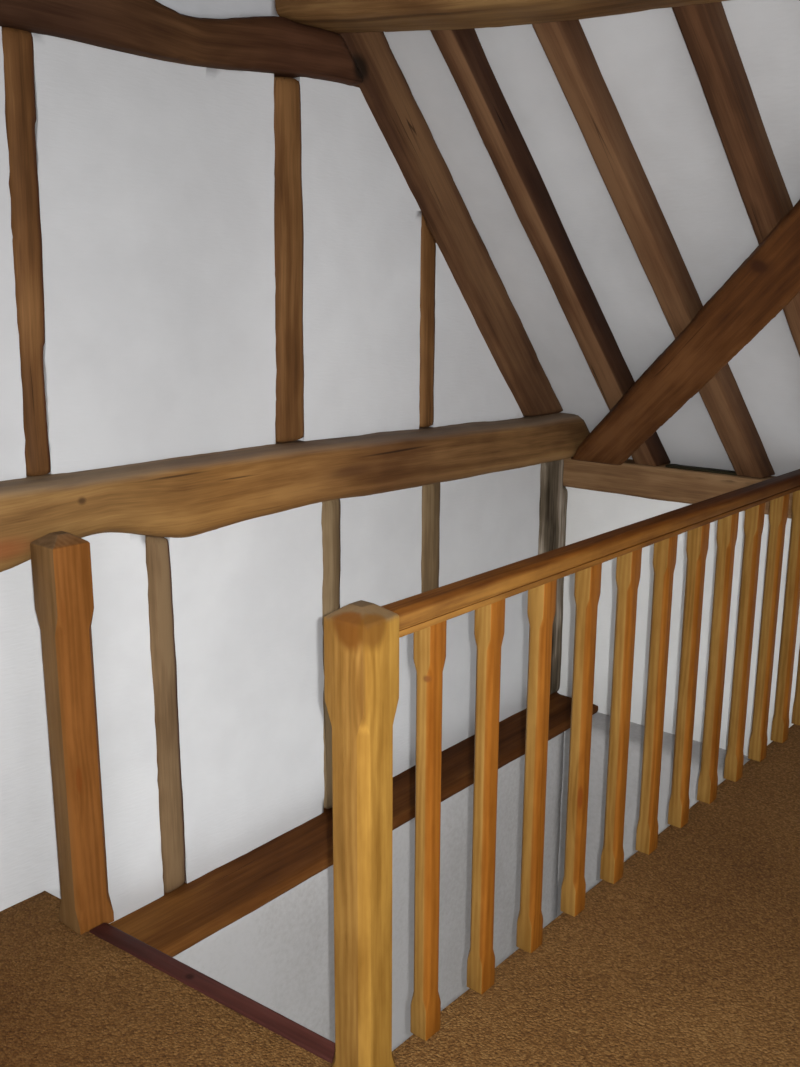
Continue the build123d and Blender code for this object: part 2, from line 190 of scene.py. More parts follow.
@dataclass(frozen=True)
class Knot:
    """One mark at a known place on a timber: a knot, a stain or a shake.

    Its core is the share of its reach that is fully tinted, and its waver is how uneven its outline is.
    """

    place: Point
    reach: Point
    tint: Colour = (0.10, 0.035, 0.010)
    core: float = 0.3
    strength: float = 0.8
    waver: float = 0.9


class Recipe:
    """One material's nodes, round a Principled surface."""

    def __init__(self, name: str) -> None:
        """Start an empty material.

        Args:
            name: the material's name.
        """
        self.material = bpy.data.materials.new(name)
        self.material.use_nodes = True
        self.tree = self.material.node_tree
        self.tree.nodes.clear()
        self.surface = self.node("ShaderNodeBsdfPrincipled", {}, {})
        self.node("ShaderNodeOutputMaterial", {}, {"Surface": Value(self, self.surface.outputs[0])})

    def node(self, kind: str, settings: dict[str, object],
             sockets: dict[str | int, object]) -> bpy.types.Node:
        """Add one node.

        Args:
            kind: the node's type.
            settings: its properties, set first; a colour ramp's stops come as "stops".
            sockets: what goes into its sockets: a Value, a number or a colour.

        Returns:
            The node.
        """
        node = self.tree.nodes.new(kind)
        for key, setting in settings.items():
            if key == "stops":
                self._set_stops(node, setting)
            else:
                setattr(node, key, setting)
        self._feed(node, sockets)
        return node

    def _feed(self, node: bpy.types.Node, sockets: dict[str | int, object]) -> None:
        """Join or set the sockets of a node."""
        for key, entry in sockets.items():
            if isinstance(entry, Value):
                self.tree.links.new(entry.socket, node.inputs[key])
            else:
                node.inputs[key].default_value = entry

    @staticmethod
    def _set_stops(node: bpy.types.Node, stops: Sequence[tuple[float, Colour]]) -> None:
        """Give a colour ramp its stops."""
        ramp = node.color_ramp
        while len(ramp.elements) < len(stops):
            ramp.elements.new(1.0)
        for element, (place, colour) in zip(ramp.elements, stops):
            element.position = place
            element.color = (*colour, 1.0)

    def place(self) -> Value:
        """The point on the piece, in metres."""
        return Value(self, self.node("ShaderNodeTexCoord", {}, {}).outputs["Object"])

    def facing(self) -> tuple[Value, Value, Value]:
        """Which way the surface faces, as the three parts of its normal."""
        return self.split(Value(self, self.node("ShaderNodeNewGeometry", {}, {}).outputs["Normal"]))

    def attribute(self, name: str) -> Value:
        """A number kept on the piece."""
        return Value(self, self.node("ShaderNodeAttribute", {"attribute_name": name}, {}).outputs["Fac"])

    def grain(self) -> Value:
        """The point in the timber's own directions: along the grain first, then across it both ways."""
        node = self.node("ShaderNodeAttribute", {"attribute_name": "grain"}, {})
        return Value(self, node.outputs["Vector"])

    def split(self, vector: Value) -> tuple[Value, Value, Value]:
        """The three parts of a vector."""
        node = self.node("ShaderNodeSeparateXYZ", {}, {0: vector})
        return tuple(Value(self, socket) for socket in node.outputs)

    def stretched(self, vector: Value, factors: Point) -> Value:
        """A vector with each part multiplied."""
        node = self.node("ShaderNodeVectorMath", {"operation": "MULTIPLY"}, {0: vector, 1: factors})
        return Value(self, node.outputs[0])

    def distance(self, vector: Value, point: Point) -> Value:
        """How far a vector is from a point."""
        node = self.node("ShaderNodeVectorMath", {"operation": "DISTANCE"}, {0: vector, 1: point})
        return Value(self, node.outputs["Value"])

    def cloud(self, vector: Value, scale: float, detail: float = 2.0, roughness: float = 0.5) -> Value:
        """Soft noise from 0 to 1."""
        node = self.node("ShaderNodeTexNoise", {"noise_dimensions": "3D"},
                         {"Vector": vector, "Scale": scale, "Detail": detail, "Roughness": roughness})
        return Value(self, node.outputs["Fac"])

    def drawn_cloud(self, vector: Value, factors: Point, detail: float, roughness: float = 0.5) -> Value:
        """Soft noise with its own scale each way, so that it runs along one of them."""
        return self.cloud(self.stretched(vector, factors), 1.0, detail, roughness)

    def cells(self, vector: Value, scale: float) -> tuple[Value, Value]:
        """Distance to the nearest scattered point, and a random number for its cell."""
        node = self.node("ShaderNodeTexVoronoi", {"voronoi_dimensions": "3D", "feature": "F1"},
                         {"Vector": vector, "Scale": scale})
        shade = self.node("ShaderNodeSeparateColor", {}, {0: Value(self, node.outputs["Color"])})
        return Value(self, node.outputs["Distance"]), Value(self, shade.outputs[0])

    def ramp(self, value: Value, stops: Sequence[tuple[float, Colour]]) -> Value:
        """A colour picked by a value along a row of stops."""
        return Value(self, self.node("ShaderNodeValToRGB", {"stops": stops}, {0: value}).outputs[0])

    def mix(self, share: Value | float, first: Value | Colour, second: Value | Colour,
            blend: str = "MIX") -> Value:
        """Two colours mixed by a share of the second."""
        first, second = (entry if isinstance(entry, Value) else (*entry, 1.0)
                         for entry in (first, second))
        node = self.node("ShaderNodeMix", {"data_type": "RGBA", "blend_type": blend},
                         {"Factor": share, 6: first, 7: second})
        return Value(self, node.outputs[2])

    def tinted(self, share: Value, colour: Value, tint: Colour) -> Value:
        """A colour multiplied by a tint, as far as the share goes."""
        return self.mix(share, colour, tint, "MULTIPLY")

    def outward(self, colour: Value, tints: Sequence[tuple[float, Colour]]) -> Value:
        """A colour tinted by how far it is from the middle of the bay.

        Args:
            colour: the colour before.
            tints: distances in metres from the middle, from 0 outward, each with its tint.

        Returns:
            The tinted colour.
        """
        reach = tints[-1][0]
        across = self.split(self.place())[0].size() / reach
        stops = [(away / reach, tint) for away, tint in tints]
        return self.mix(1.0, colour, self.ramp(across, stops), "MULTIPLY")

    def marked(self, colour: Value, marks: Sequence[Knot], waver: Value) -> Value:
        """A colour with knots, stains or shakes painted at known places.

        Args:
            colour: the colour below them.
            marks: the marks.
            waver: soft noise that makes their outlines uneven.

        Returns:
            The colour with its marks.
        """
        for mark in marks:
            local = self.stretched(self.place(), tuple(1.0 / part for part in mark.reach))
            centre = tuple(part / reach for part, reach in zip(mark.place, mark.reach))
            away = self.distance(local, centre) + (waver - 0.5) * mark.waver
            colour = self.mix(away.above(1.0, mark.core) * mark.strength, colour, mark.tint)
        return colour

    def relief(self, height: Value, depth: float) -> Value:
        """Surface relief from a height between 0 and 1 that stands for so many metres."""
        node = self.node("ShaderNodeBump", {}, {"Height": height, "Distance": depth, "Strength": 1.0})
        return Value(self, node.outputs[0])

    def finish(self, colour: Value | Sequence[float], roughness: Value | float,
               normal: Value | None = None, **constants: float) -> bpy.types.Material:
        """Feed the surface.

        Args:
            colour: base colour.
            roughness: roughness.
            normal: relief, where there is some.
            constants: other sockets of the surface, by name with _ for a space, each one number.

        Returns:
            The finished material.
        """
        entries = {"Base Color": colour, "Roughness": roughness}
        if normal is not None:
            entries["Normal"] = normal
        entries.update({key.replace("_", " "): number for key, number in constants.items()})
        self._feed(self.surface, entries)
        return self.material


@dataclass(frozen=True)
class OakFinish:
    """Old oak: soft bands and streaks, a few knots and straight drying cracks."""

    name: str
    dark: Colour
    middle: Colour
    light: Colour
    cracks: float = 0.4
    knots: float = 0.2
    spread: float = 0.09
    gloss: float = 0.66
    relief: float = 0.0016
    outward: Tints = ()
    # Painted shade: a tint for faces turned towards the open end, at full strength beyond a depth along Y.
    painted_side_shading: Colour = (1.0, 1.0, 1.0)
    painted_side_shading_from: float = -9.0
    # Painted shade: a tint for faces turned towards +X.
    painted_right_shade: Colour = (1.0, 1.0, 1.0)
    # How far upward faces are turned towards grey.
    top_greying: float = 0.0
    marks: tuple[Knot, ...] = ()

    def material(self) -> bpy.types.Material:
        """Build the material."""
        recipe = Recipe(self.name)
        grain = recipe.grain()
        bands = recipe.drawn_cloud(grain, (0.5, 10.0, 10.0), 2.0, 0.5)
        streaks = recipe.drawn_cloud(grain, (1.8, 48.0, 48.0), 3.0, 0.6)
        fibres = recipe.drawn_cloud(grain, (9.0, 260.0, 260.0), 2.0, 0.6)
        patches = recipe.drawn_cloud(grain, (2.2, 6.0, 6.0), 3.0, 0.6)
        off_knot, chosen = recipe.cells(recipe.stretched(grain, (2.0, 7.0, 7.0)), 1.0)
        gate = chosen.above(1.0 - self.knots, 1.02 - self.knots)
        knots = off_knot.above(0.13, 0.05) * gate
        halo = off_knot.above(0.30, 0.08) * gate
        split = recipe.drawn_cloud(grain, (0.6, 24.0, 24.0), 1.0, 0.5)
        opened = recipe.drawn_cloud(grain, (2.6, 7.0, 7.0), 1.0)
        cracks = (split - 0.5).size().above(0.012, 0.002) * opened.above(0.66 - 0.16 * self.cracks, 0.70)
        tone = bands * 0.34 + patches * 0.34 + streaks * 0.22 + fibres * 0.10 - halo * 0.06
        stops = [(0.5 - self.spread, self.dark), (0.5, self.middle), (0.5 + self.spread, self.light)]
        colour = recipe.ramp(tone, stops)
        if self.outward:
            colour = recipe.outward(colour, self.outward)
        colour = recipe.mix(knots * 0.6, colour, tuple(0.35 * part for part in self.dark))
        colour = recipe.mix(cracks * 0.75, colour, tuple(0.25 * part for part in self.dark))
        colour = recipe.marked(colour, self.marks, patches)
        facing_x, facing_y, facing_z = recipe.facing()
        # Painted shade: faces turned towards the open end are tinted, more so deeper in along Y.
        depth = recipe.split(recipe.place())[1]
        inner = depth.above(self.painted_side_shading_from - 0.08, self.painted_side_shading_from + 0.08)
        painted_shading_share = facing_y.above(-0.30, -0.70) * (inner * 0.60 + 0.40)
        colour = recipe.tinted(painted_shading_share, colour, self.painted_side_shading)
        # Painted shade: faces turned towards +X are tinted darker.
        colour = recipe.tinted(facing_x.above(0.10, 0.60), colour, self.painted_right_shade)
        # Upward faces are mixed towards grey, in patches.
        if self.top_greying:
            upward = facing_z.above(0.35, 0.95) * (patches * 0.6 + 0.6)
            colour = recipe.mix(upward * self.top_greying, colour, (0.20, 0.175, 0.15))
        height = fibres * 0.30 + streaks * 0.70 - cracks * 0.8
        roughness = fibres * 0.20 + (self.gloss - 0.10)
        return recipe.finish(colour, roughness, recipe.relief(height, self.relief), IOR=1.3,
                             Specular_IOR_Level=0.18)


@dataclass(frozen=True)
class PineFinish:
    """Planed pine under varnish: soft uneven streaks, faint rings and round knots."""

    name: str
    early: Colour
    late: Colour
    knot: Colour = (0.13, 0.045, 0.012)
    knots: float = 0.3
    coat: float = 0.06
    roughness: float = 0.48
    ring: float = 0.011
    # Painted light and shade: a tint for faces turned towards the open end.
    painted_side_shading: Colour = (1.0, 1.0, 1.0)
    # Painted shade: a tint for upward faces.
    painted_top_shade: Colour = (1.0, 1.0, 1.0)
    cap_from: float = 0.0
    cap: Colour = (0.090, 0.060, 0.034)
    outward: Tints = ()
    marks: tuple[Knot, ...] = ()

    def material(self) -> bpy.types.Material:
        """Build the material."""
        recipe = Recipe(self.name)
        grain = recipe.grain()
        _, across, through = recipe.split(grain)
        off_knot, chosen = recipe.cells(recipe.stretched(grain, (2.6, 11.0, 11.0)), 1.0)
        gate = chosen.above(1.0 - self.knots, 1.02 - self.knots)
        knots = off_knot.above(0.10, 0.06) * gate
        swirl = off_knot.above(0.36, 0.08) * gate
        waver = recipe.drawn_cloud(grain, (1.8, 9.0, 9.0), 2.0, 0.5)
        radius = (across * across + through * through).power(0.5)
        phase = (radius + waver * 0.045 + swirl * 0.012) / self.ring
        rings = (phase * math.tau).sine() * 0.5 + 0.5
        broad = recipe.drawn_cloud(grain, (1.4, 42.0, 42.0), 3.0, 0.55)
        fine = recipe.drawn_cloud(grain, (5.0, 150.0, 150.0), 3.0, 0.6)
        blotches = recipe.drawn_cloud(grain, (7.0, 26.0, 26.0), 3.0, 0.65)
        tone = rings * 0.09 + broad * 0.38 + fine * 0.20 + blotches * 0.33 + swirl * 0.12
        colour = recipe.ramp(tone, [(0.36, self.early), (0.64, self.late)])
        colour = recipe.mix(knots * 0.8, colour, self.knot)
        _, facing_y, facing_z = recipe.facing()
        # Painted light and shade: faces turned towards the open end get their own tint.
        colour = recipe.tinted(facing_y.above(-0.35, -0.75), colour, self.painted_side_shading)
        # Painted shade: upward faces are tinted darker.
        colour = recipe.tinted(facing_z.above(0.25, 0.75), colour, self.painted_top_shade)
        if self.outward:
            colour = recipe.outward(colour, self.outward)
        if self.cap_from:
            height = recipe.split(recipe.place())[2] + (blotches - 0.5) * 0.030
            worn = height.above(self.cap_from - 0.004, self.cap_from + 0.010)
            colour = recipe.mix(worn * 0.85, colour, self.cap)
        colour = recipe.marked(colour, self.marks, blotches)
        height = fine * 0.6 + broad * 0.4
        rough = fine * 0.18 + (self.roughness - 0.09)
        return recipe.finish(colour, rough, recipe.relief(height, 0.0005), IOR=1.3, Coat_Weight=self.coat,
                             Coat_Roughness=0.35, Coat_IOR=1.3, Specular_IOR_Level=0.12)


@dataclass(frozen=True)
class PlasterFinish:
    """Brushed white plaster, a little dirtier along the timbers."""

    name: str
    white: Colour
    grey: Colour
    smudge: Colour = (0.33, 0.25, 0.18)
    relief: float = 0.0022
    outward: Tints = ()

    def material(self) -> bpy.types.Material:
        """Build the material."""
        recipe = Recipe(self.name)
        place = recipe.place()
        tone = recipe.cloud(place, 1.6, 2.0, 0.55)
        lumps = recipe.cloud(place, 9.0, 2.0, 0.55)
        brush = recipe.drawn_cloud(place, (30.0, 30.0, 150.0), 1.0, 0.6)
        colour = recipe.mix((tone * 0.8 + lumps * 0.35).above(0.38, 0.78), self.white, self.grey)
        if self.outward:
            colour = recipe.outward(colour, self.outward)
        dirt = (recipe.attribute("edge").above(0.75, 1.0)
                * recipe.cloud(place, 13.0, 2.0, 0.6).above(0.50, 0.72))
        colour = recipe.mix(dirt * 0.25, colour, self.smudge)
        height = lumps * 0.70 + brush * 0.30
        return recipe.finish(colour, 0.86, recipe.relief(height, self.relief), IOR=1.4,
                             Specular_IOR_Level=0.0)


@dataclass(frozen=True)
class LimewashFinish:
    """Limewash over rough render."""

    name: str
    white: Colour
    grey: Colour

    def material(self) -> bpy.types.Material:
        """Build the material."""
        recipe = Recipe(self.name)
        place = recipe.place()
        lumps = recipe.cloud(place, 5.0, 2.0, 0.6)
        rough = recipe.cloud(place, 60.0, 2.0, 0.65)
        stain = recipe.drawn_cloud(place, (2.0, 2.0, 0.7), 3.0, 0.6)
        colour = recipe.mix((stain * 0.7 + rough * 0.3).above(0.40, 0.72), self.white, self.grey)
        return recipe.finish(colour, 0.92, recipe.relief(lumps * 0.7 + rough * 0.3, 0.006), IOR=1.4,
                             Specular_IOR_Level=0.0)


@dataclass(frozen=True)
class TileFinish:
    """Plain clay tiles, each its own shade, with lichen."""

    name: str
    shades: tuple[Colour, Colour, Colour]
    lichen: Colour = (0.30, 0.31, 0.20)

    def material(self) -> bpy.types.Material:
        """Build the material."""
        recipe = Recipe(self.name)
        place = recipe.place()
        shade = recipe.attribute("shade")
        first, second, third = self.shades
        colour = recipe.ramp(shade, [(0.0, first), (0.5, second), (1.0, third)])
        mottle = recipe.cloud(place, 24.0, 4.0, 0.65)
        colour = recipe.mix(mottle.above(0.42, 0.72) * 0.45, colour, tuple(0.55 * part for part in first))
        spots = (recipe.cloud(place, 48.0, 3.0, 0.6).above(0.58, 0.66)
                 * recipe.cloud(place, 1.3, 2.0).above(0.45, 0.7))
        colour = recipe.mix(spots * 0.7, colour, self.lichen)
        pits = recipe.cloud(place, 260.0, 2.0, 0.6)
        return recipe.finish(colour, 0.85, recipe.relief(mottle * 0.5 + pits * 0.5, 0.0015), IOR=1.45)


@dataclass(frozen=True)
class CarpetFinish:
    """Looped natural-fibre carpet in mixed browns."""

    name: str
    dark: Colour
    middle: Colour
    light: Colour
    walked: Colour = (0.72, 0.62, 0.52)
    loop: float = 0.0046

    def material(self) -> bpy.types.Material:
        """Build the material."""
        recipe = Recipe(self.name)
        place = recipe.place()
        off_loop, shade = recipe.cells(recipe.stretched(place, (1.0, 0.82, 1.0)), 1.0 / self.loop)
        yarn = recipe.cloud(place, 900.0, 2.0, 0.6)
        trodden = recipe.cloud(place, 1.4, 3.0, 0.6)
        flecks = recipe.cloud(place, 110.0, 2.0, 0.7)
        tone = shade * 0.24 + yarn * 0.14 + trodden * 0.40 + flecks * 0.30 - off_loop * 0.22
        colour = recipe.ramp(tone, [(0.22, self.dark), (0.44, self.middle), (0.70, self.light)])
        walked = recipe.split(place)[0].above(0.35, -0.25)
        colour = recipe.tinted(walked, colour, self.walked)
        return recipe.finish(colour, 0.97, recipe.relief(1.0 - off_loop, 0.0026), IOR=1.25)


class Finishes:
    """All the finishes of the bay, each built once."""

    def __init__(self) -> None:
        """Build every material."""
        tie_tints = ((0.0, (0.86, 0.90, 0.95)), (0.45, (0.92, 0.95, 0.95)), (0.75, (1.04, 0.98, 0.86)),
                     (1.05, (0.90, 0.83, 0.78)), (1.35, (0.52, 0.45, 0.48)), (2.0, (0.90, 0.92, 1.05)),
                     (2.65, (0.95, 1.00, 1.15)))
        ledge_tints = ((0.0, (1.5, 1.5, 1.2)), (0.45, (1.5, 1.5, 1.2)), (0.9, (1.15, 1.05, 0.85)),
                       (1.6, (1.0, 0.9, 0.75)))
        tie_marks = (
            Knot((0.345, 1.262, 3.350), (0.016, 0.05, 0.013), (0.040, 0.020, 0.010), 0.3, 0.75),
            Knot((0.310, 1.262, 3.225), (0.110, 0.06, 0.030), (0.330, 0.090, 0.022), 0.1, 0.55),
            Knot((0.600, 1.262, 3.372), (0.130, 0.06, 0.0035), (0.045, 0.022, 0.010), 0.2, 0.8, 0.5),
            Knot((0.790, 1.262, 3.345), (0.090, 0.06, 0.0030), (0.045, 0.022, 0.010), 0.2, 0.8, 0.5),
            Knot((1.400, 1.262, 3.346), (0.210, 0.06, 0.0045), (0.022, 0.010, 0.006), 0.2, 0.85, 0.5),
            Knot((1.200, 1.262, 3.310), (0.160, 0.06, 0.030), (0.085, 0.038, 0.016), 0.0, 0.7),
            Knot((0.150, 1.262, 3.275), (0.110, 0.08, 0.034), (0.200, 0.060, 0.020), 0.1, 0.6),
        )
        heart = (
            Knot((0.241, 0.362, 3.290), (0.022, 0.042, 0.060), (0.100, 0.036, 0.006), 0.62, 0.90, 0.60),
            Knot((0.264, 0.329, 3.288), (0.040, 0.022, 0.056), (0.100, 0.042, 0.007), 0.60, 0.85, 0.60),
            Knot((0.243, 0.331, 3.180), (0.007, 0.008, 0.110), (0.100, 0.044, 0.010), 0.2, 0.60, 0.4),
            Knot((0.241, 0.355, 3.150), (0.020, 0.020, 0.070), (0.150, 0.076, 0.018), 0.1, 0.50),
            Knot((0.241, 0.385, 2.880), (0.020, 0.022, 0.120), (0.155, 0.080, 0.020), 0.0, 0.45),
        )
        joint = tuple(Knot((side.value * 1.322, 1.324, 4.392), (0.046, 0.08, 0.050),
                           (0.012, 0.007, 0.004), 0.45, 0.9, 0.6) for side in (Side.LEFT, Side.RIGHT))
        stud_tints = ((0.0, (0.66, 0.60, 0.52)), (0.35, (0.66, 0.60, 0.52)), (0.6, (0.76, 0.69, 0.67)),
                      (0.95, (0.94, 0.94, 0.98)), (2.7, (1.0, 1.0, 1.0)))
        rail_tints = ((0.0, (1.0, 1.0, 1.0)), (0.55, (1.0, 1.0, 1.0)), (1.1, (0.84, 0.72, 0.55)),
                      (2.1, (0.50, 0.38, 0.34)), (2.6, (0.48, 0.36, 0.32)))
        collar_tints = ((0.0, (0.60, 0.58, 0.72)), (0.45, (0.62, 0.60, 0.74)), (0.75, (1.0, 1.0, 1.0)),
                        (1.05, (0.80, 0.72, 0.86)), (1.4, (0.80, 0.72, 0.86)))
        fork = (1.811, 0.378, 3.873)
        brace_knot = (Knot(fork, (0.030, 0.030, 0.026), (0.020, 0.008, 0.004), 0.35, 0.85, 0.7),
                      Knot(fork, (0.070, 0.070, 0.050), (0.055, 0.020, 0.008), 0.10, 0.60))
        nail = (Knot((0.262, 0.846, 2.404), (0.012, 0.014, 0.03), (0.020, 0.006, 0.004), 0.3, 0.9),)
        baluster_knot = (Knot((0.439, 0.360, 3.135), (0.012, 0.011, 0.009), (0.10, 0.035, 0.010), 0.3, 0.8),
                         Knot((0.462, 0.329, 2.800), (0.020, 0.03, 0.022), (0.20, 0.050, 0.016), 0.2, 0.8))
        # Painted light and shade on the white plaster: grey levels that make it darker or lighter with the
        # distance from the middle of the bay.
        lower_plaster_painted_light = tuple((away, (level, level, level)) for away, level in (
            (0.0, 0.80), (0.22, 0.82), (0.55, 0.95), (1.3, 0.95), (1.75, 0.88), (2.7, 0.88)))
        upper_plaster_painted_light = tuple((away, (level, level, level)) for away, level in (
            (0.0, 0.84), (0.75, 0.85), (1.10, 1.0), (2.7, 1.04)))
        finishes = {
            "tie": OakFinish("tie_oak", (0.110, 0.052, 0.018), (0.200, 0.102, 0.034),
                             (0.300, 0.165, 0.058), 0.45, knots=0.12, outward=tie_tints, top_greying=0.45,
                             marks=tie_marks),
            "dark": OakFinish("dark_oak", (0.050, 0.022, 0.011), (0.092, 0.043, 0.020),
                              (0.150, 0.078, 0.036)),
            "gable": OakFinish("gable_oak", (0.050, 0.022, 0.011), (0.098, 0.047, 0.022),
                               (0.150, 0.078, 0.036), marks=joint),
            "rafter": OakFinish("rafter_oak", (0.060, 0.027, 0.013), (0.112, 0.053, 0.025),
                                (0.170, 0.090, 0.044), painted_side_shading=(0.34, 0.30, 0.32),
                                painted_side_shading_from=0.93),
            "collar": OakFinish("collar_oak", (0.030, 0.013, 0.006), (0.060, 0.027, 0.011),
                                (0.104, 0.050, 0.021), outward=collar_tints, marks=joint),
            "purlin": OakFinish("purlin_oak", (0.068, 0.032, 0.011), (0.140, 0.070, 0.026),
                                (0.235, 0.135, 0.052)),
            "brace": OakFinish("brace_oak", (0.048, 0.017, 0.006), (0.091, 0.034, 0.010),
                               (0.145, 0.060, 0.020), marks=brace_knot),
            "plate": OakFinish("plate_oak", (0.110, 0.056, 0.026), (0.215, 0.120, 0.056),
                               (0.320, 0.195, 0.100)),
            "upper_stud": OakFinish("upper_stud_oak", (0.060, 0.026, 0.009), (0.115, 0.052, 0.018),
                                    (0.185, 0.092, 0.034), 0.3, painted_right_shade=(0.62, 0.52, 0.62)),
            "lower_stud": OakFinish("lower_stud_oak", (0.085, 0.055, 0.028), (0.165, 0.110, 0.056),
                                    (0.260, 0.185, 0.100), 0.5, gloss=0.78,
                                    painted_right_shade=(0.55, 0.47, 0.62), outward=stud_tints),
            "post": OakFinish("weathered_oak", (0.032, 0.023, 0.014), (0.130, 0.102, 0.070),
                              (0.420, 0.360, 0.290), 0.8, spread=0.085, gloss=0.85, relief=0.004),
            "ledge": OakFinish("ledge_oak", (0.048, 0.017, 0.005), (0.086, 0.033, 0.0095),
                               (0.135, 0.058, 0.017), 0.2, gloss=0.80, outward=ledge_tints),
            "packing": OakFinish("packing_wood", (0.008, 0.007, 0.003), (0.015, 0.012, 0.006),
                                 (0.028, 0.024, 0.012)),
            "trim": OakFinish("dark_trim", (0.040, 0.013, 0.010), (0.068, 0.021, 0.016),
                              (0.100, 0.036, 0.028), 0.0, 0.05, gloss=0.55, relief=0.0006, marks=nail),
            "wall_newel": PineFinish("old_pine", (0.192, 0.106, 0.042), (0.120, 0.062, 0.021),
                                     coat=0.03, roughness=0.60, painted_side_shading=(1.08, 0.76, 0.46),
                                     painted_top_shade=(0.75, 0.80, 1.0)),
            "stair_newel": PineFinish("newel_pine", (0.262, 0.142, 0.036), (0.136, 0.064, 0.013),
                                      roughness=0.55, painted_side_shading=(1.02, 1.02, 0.80), cap_from=3.283,
                                      marks=heart),
            "rail": PineFinish("rail_pine", (0.232, 0.112, 0.024), (0.094, 0.038, 0.009), knots=0.2,
                               roughness=0.55, painted_top_shade=(0.62, 0.48, 0.40), outward=rail_tints),
            "baluster": PineFinish("baluster_pine", (0.250, 0.138, 0.036), (0.145, 0.068, 0.013),
                                   knots=0.3, roughness=0.55, painted_side_shading=(0.88, 0.58, 0.30),
                                   marks=baluster_knot),
            "softwood_x": OakFinish("floor_softwood", (0.22, 0.13, 0.06), (0.42, 0.28, 0.15),
                                    (0.56, 0.41, 0.25), 0.1, relief=0.001),
            "softwood_y": OakFinish("joist_softwood", (0.20, 0.12, 0.055), (0.38, 0.25, 0.13),
                                    (0.50, 0.36, 0.21), 0.2, relief=0.001),
            # Painted light and shade: one white plaster, given a different brightness for each region,
            # darkest in the apex, darker on the upper panels and ceiling slopes, lightest on the eaves
            # walls.
            "lower_plaster": PlasterFinish("lower_plaster", (0.680, 0.690, 0.700),
                                           (0.610, 0.618, 0.630), outward=lower_plaster_painted_light),
            "upper_plaster": PlasterFinish("upper_plaster", (0.580, 0.585, 0.595),
                                           (0.520, 0.522, 0.532), outward=upper_plaster_painted_light),
            "apex_plaster": PlasterFinish("apex_plaster", (0.480, 0.485, 0.505), (0.420, 0.424, 0.440)),
            "lining_plaster": PlasterFinish("lining_plaster", (0.600, 0.605, 0.615),
                                            (0.530, 0.534, 0.542)),
            "eaves_plaster": PlasterFinish("eaves_plaster", (0.820, 0.830, 0.825),
                                           (0.760, 0.768, 0.760)),
            "limewash": LimewashFinish("limewash", (0.460, 0.456, 0.456), (0.365, 0.354, 0.344)),
            "tile": TileFinish("clay_tile",
                               ((0.150, 0.052, 0.030), (0.265, 0.100, 0.052), (0.210, 0.110, 0.075))),
            "mortar": LimewashFinish("mortar", (0.42, 0.40, 0.36), (0.30, 0.28, 0.25)),
            "carpet": CarpetFinish("looped_carpet", (0.072, 0.032, 0.009), (0.146, 0.070, 0.020),
                                   (0.245, 0.138, 0.048)),
        }
        self._materials = {key: finish.material() for key, finish in finishes.items()}

    def __getitem__(self, key: str) -> bpy.types.Material:
        """The material of one finish."""
        return self._materials[key]


def choose(*pieces: bpy.types.Object) -> None:
    """Select some pieces and nothing else, and make the first the active one."""
    bpy.ops.object.select_all(action="DESELECT")
    for piece in pieces:
        piece.select_set(True)
    bpy.context.view_layer.objects.active = pieces[0]


@contextmanager
def editing(piece: bpy.types.Object) -> Iterator[None]:
    """Hold one piece, and nothing else, in edit mode with all of it selected."""
    choose(piece)
    bpy.ops.object.mode_set(mode="EDIT")
    bpy.ops.mesh.select_all(action="SELECT")
    yield
    bpy.ops.object.mode_set(mode="OBJECT")


def apply_modifier(piece: bpy.types.Object, kind: str, **settings: object) -> None:
    """Add one modifier with its settings and apply it."""
    choose(piece)
    bpy.ops.object.modifier_add(type=kind)
    modifier = piece.modifiers[-1]
    for key, setting in settings.items():
        setattr(modifier, key, setting)
    bpy.ops.object.modifier_apply(modifier=modifier.name)


def break_arrises(piece: bpy.types.Object, width: float, segments: int = 2,
                  angle: float = CREASE) -> None:
    """Round off the edges of a piece that are sharper than an angle."""
    apply_modifier(piece, "BEVEL", width=width, segments=segments, limit_method="ANGLE",
                   angle_limit=angle)


def displace(piece: bpy.types.Object, texture: bpy.types.Texture, strength: float) -> None:
    """Let a soft noise move the faces of a piece in and out."""
    apply_modifier(piece, "DISPLACE", texture=texture, texture_coords="LOCAL", strength=strength,
                   mid_level=0.5)


def smooth(piece: bpy.types.Object, angle: float = SMOOTH_ANGLE) -> None:
    """Shade a piece smooth but for its sharp edges."""
    choose(piece)
    bpy.ops.object.shade_smooth_by_angle(angle=angle)


def points_of(piece: bpy.types.Object) -> np.ndarray:
    """A piece's points, one row each."""
    flat = np.empty(len(piece.data.vertices) * 3)
    piece.data.vertices.foreach_get("co", flat)
    return flat.reshape(-1, 3)


def set_points(piece: bpy.types.Object, points: np.ndarray) -> None:
    """Move a piece's points."""
    piece.data.vertices.foreach_set("co", points.ravel())
    piece.data.update()


def set_attribute(piece: bpy.types.Object, name: str, numbers: np.ndarray) -> None:
    """Keep one number, or one vector, on each point of a piece."""
    kind, key = ("FLOAT", "value") if numbers.ndim == 1 else ("FLOAT_VECTOR", "vector")
    attribute = piece.data.attributes.new(name, kind, "POINT")
    attribute.data.foreach_set(key, numbers.astype(np.float32).ravel())


def islands_of(piece: bpy.types.Object) -> np.ndarray:
    """The number of the separate solid that each point of a piece belongs to."""
    ends = np.empty(len(piece.data.edges) * 2, dtype=np.int64)
    piece.data.edges.foreach_get("vertices", ends)
    ends = ends.reshape(-1, 2)
    label = np.arange(len(piece.data.vertices))
    while True:
        low = np.minimum(label[ends[:, 0]], label[ends[:, 1]])
        lowered = label.copy()
        np.minimum.at(lowered, ends[:, 0], low)
        np.minimum.at(lowered, ends[:, 1], low)
        lowered = lowered[lowered]
        if np.array_equal(lowered, label):
            return np.unique(label, return_inverse=True)[1]
        label = lowered


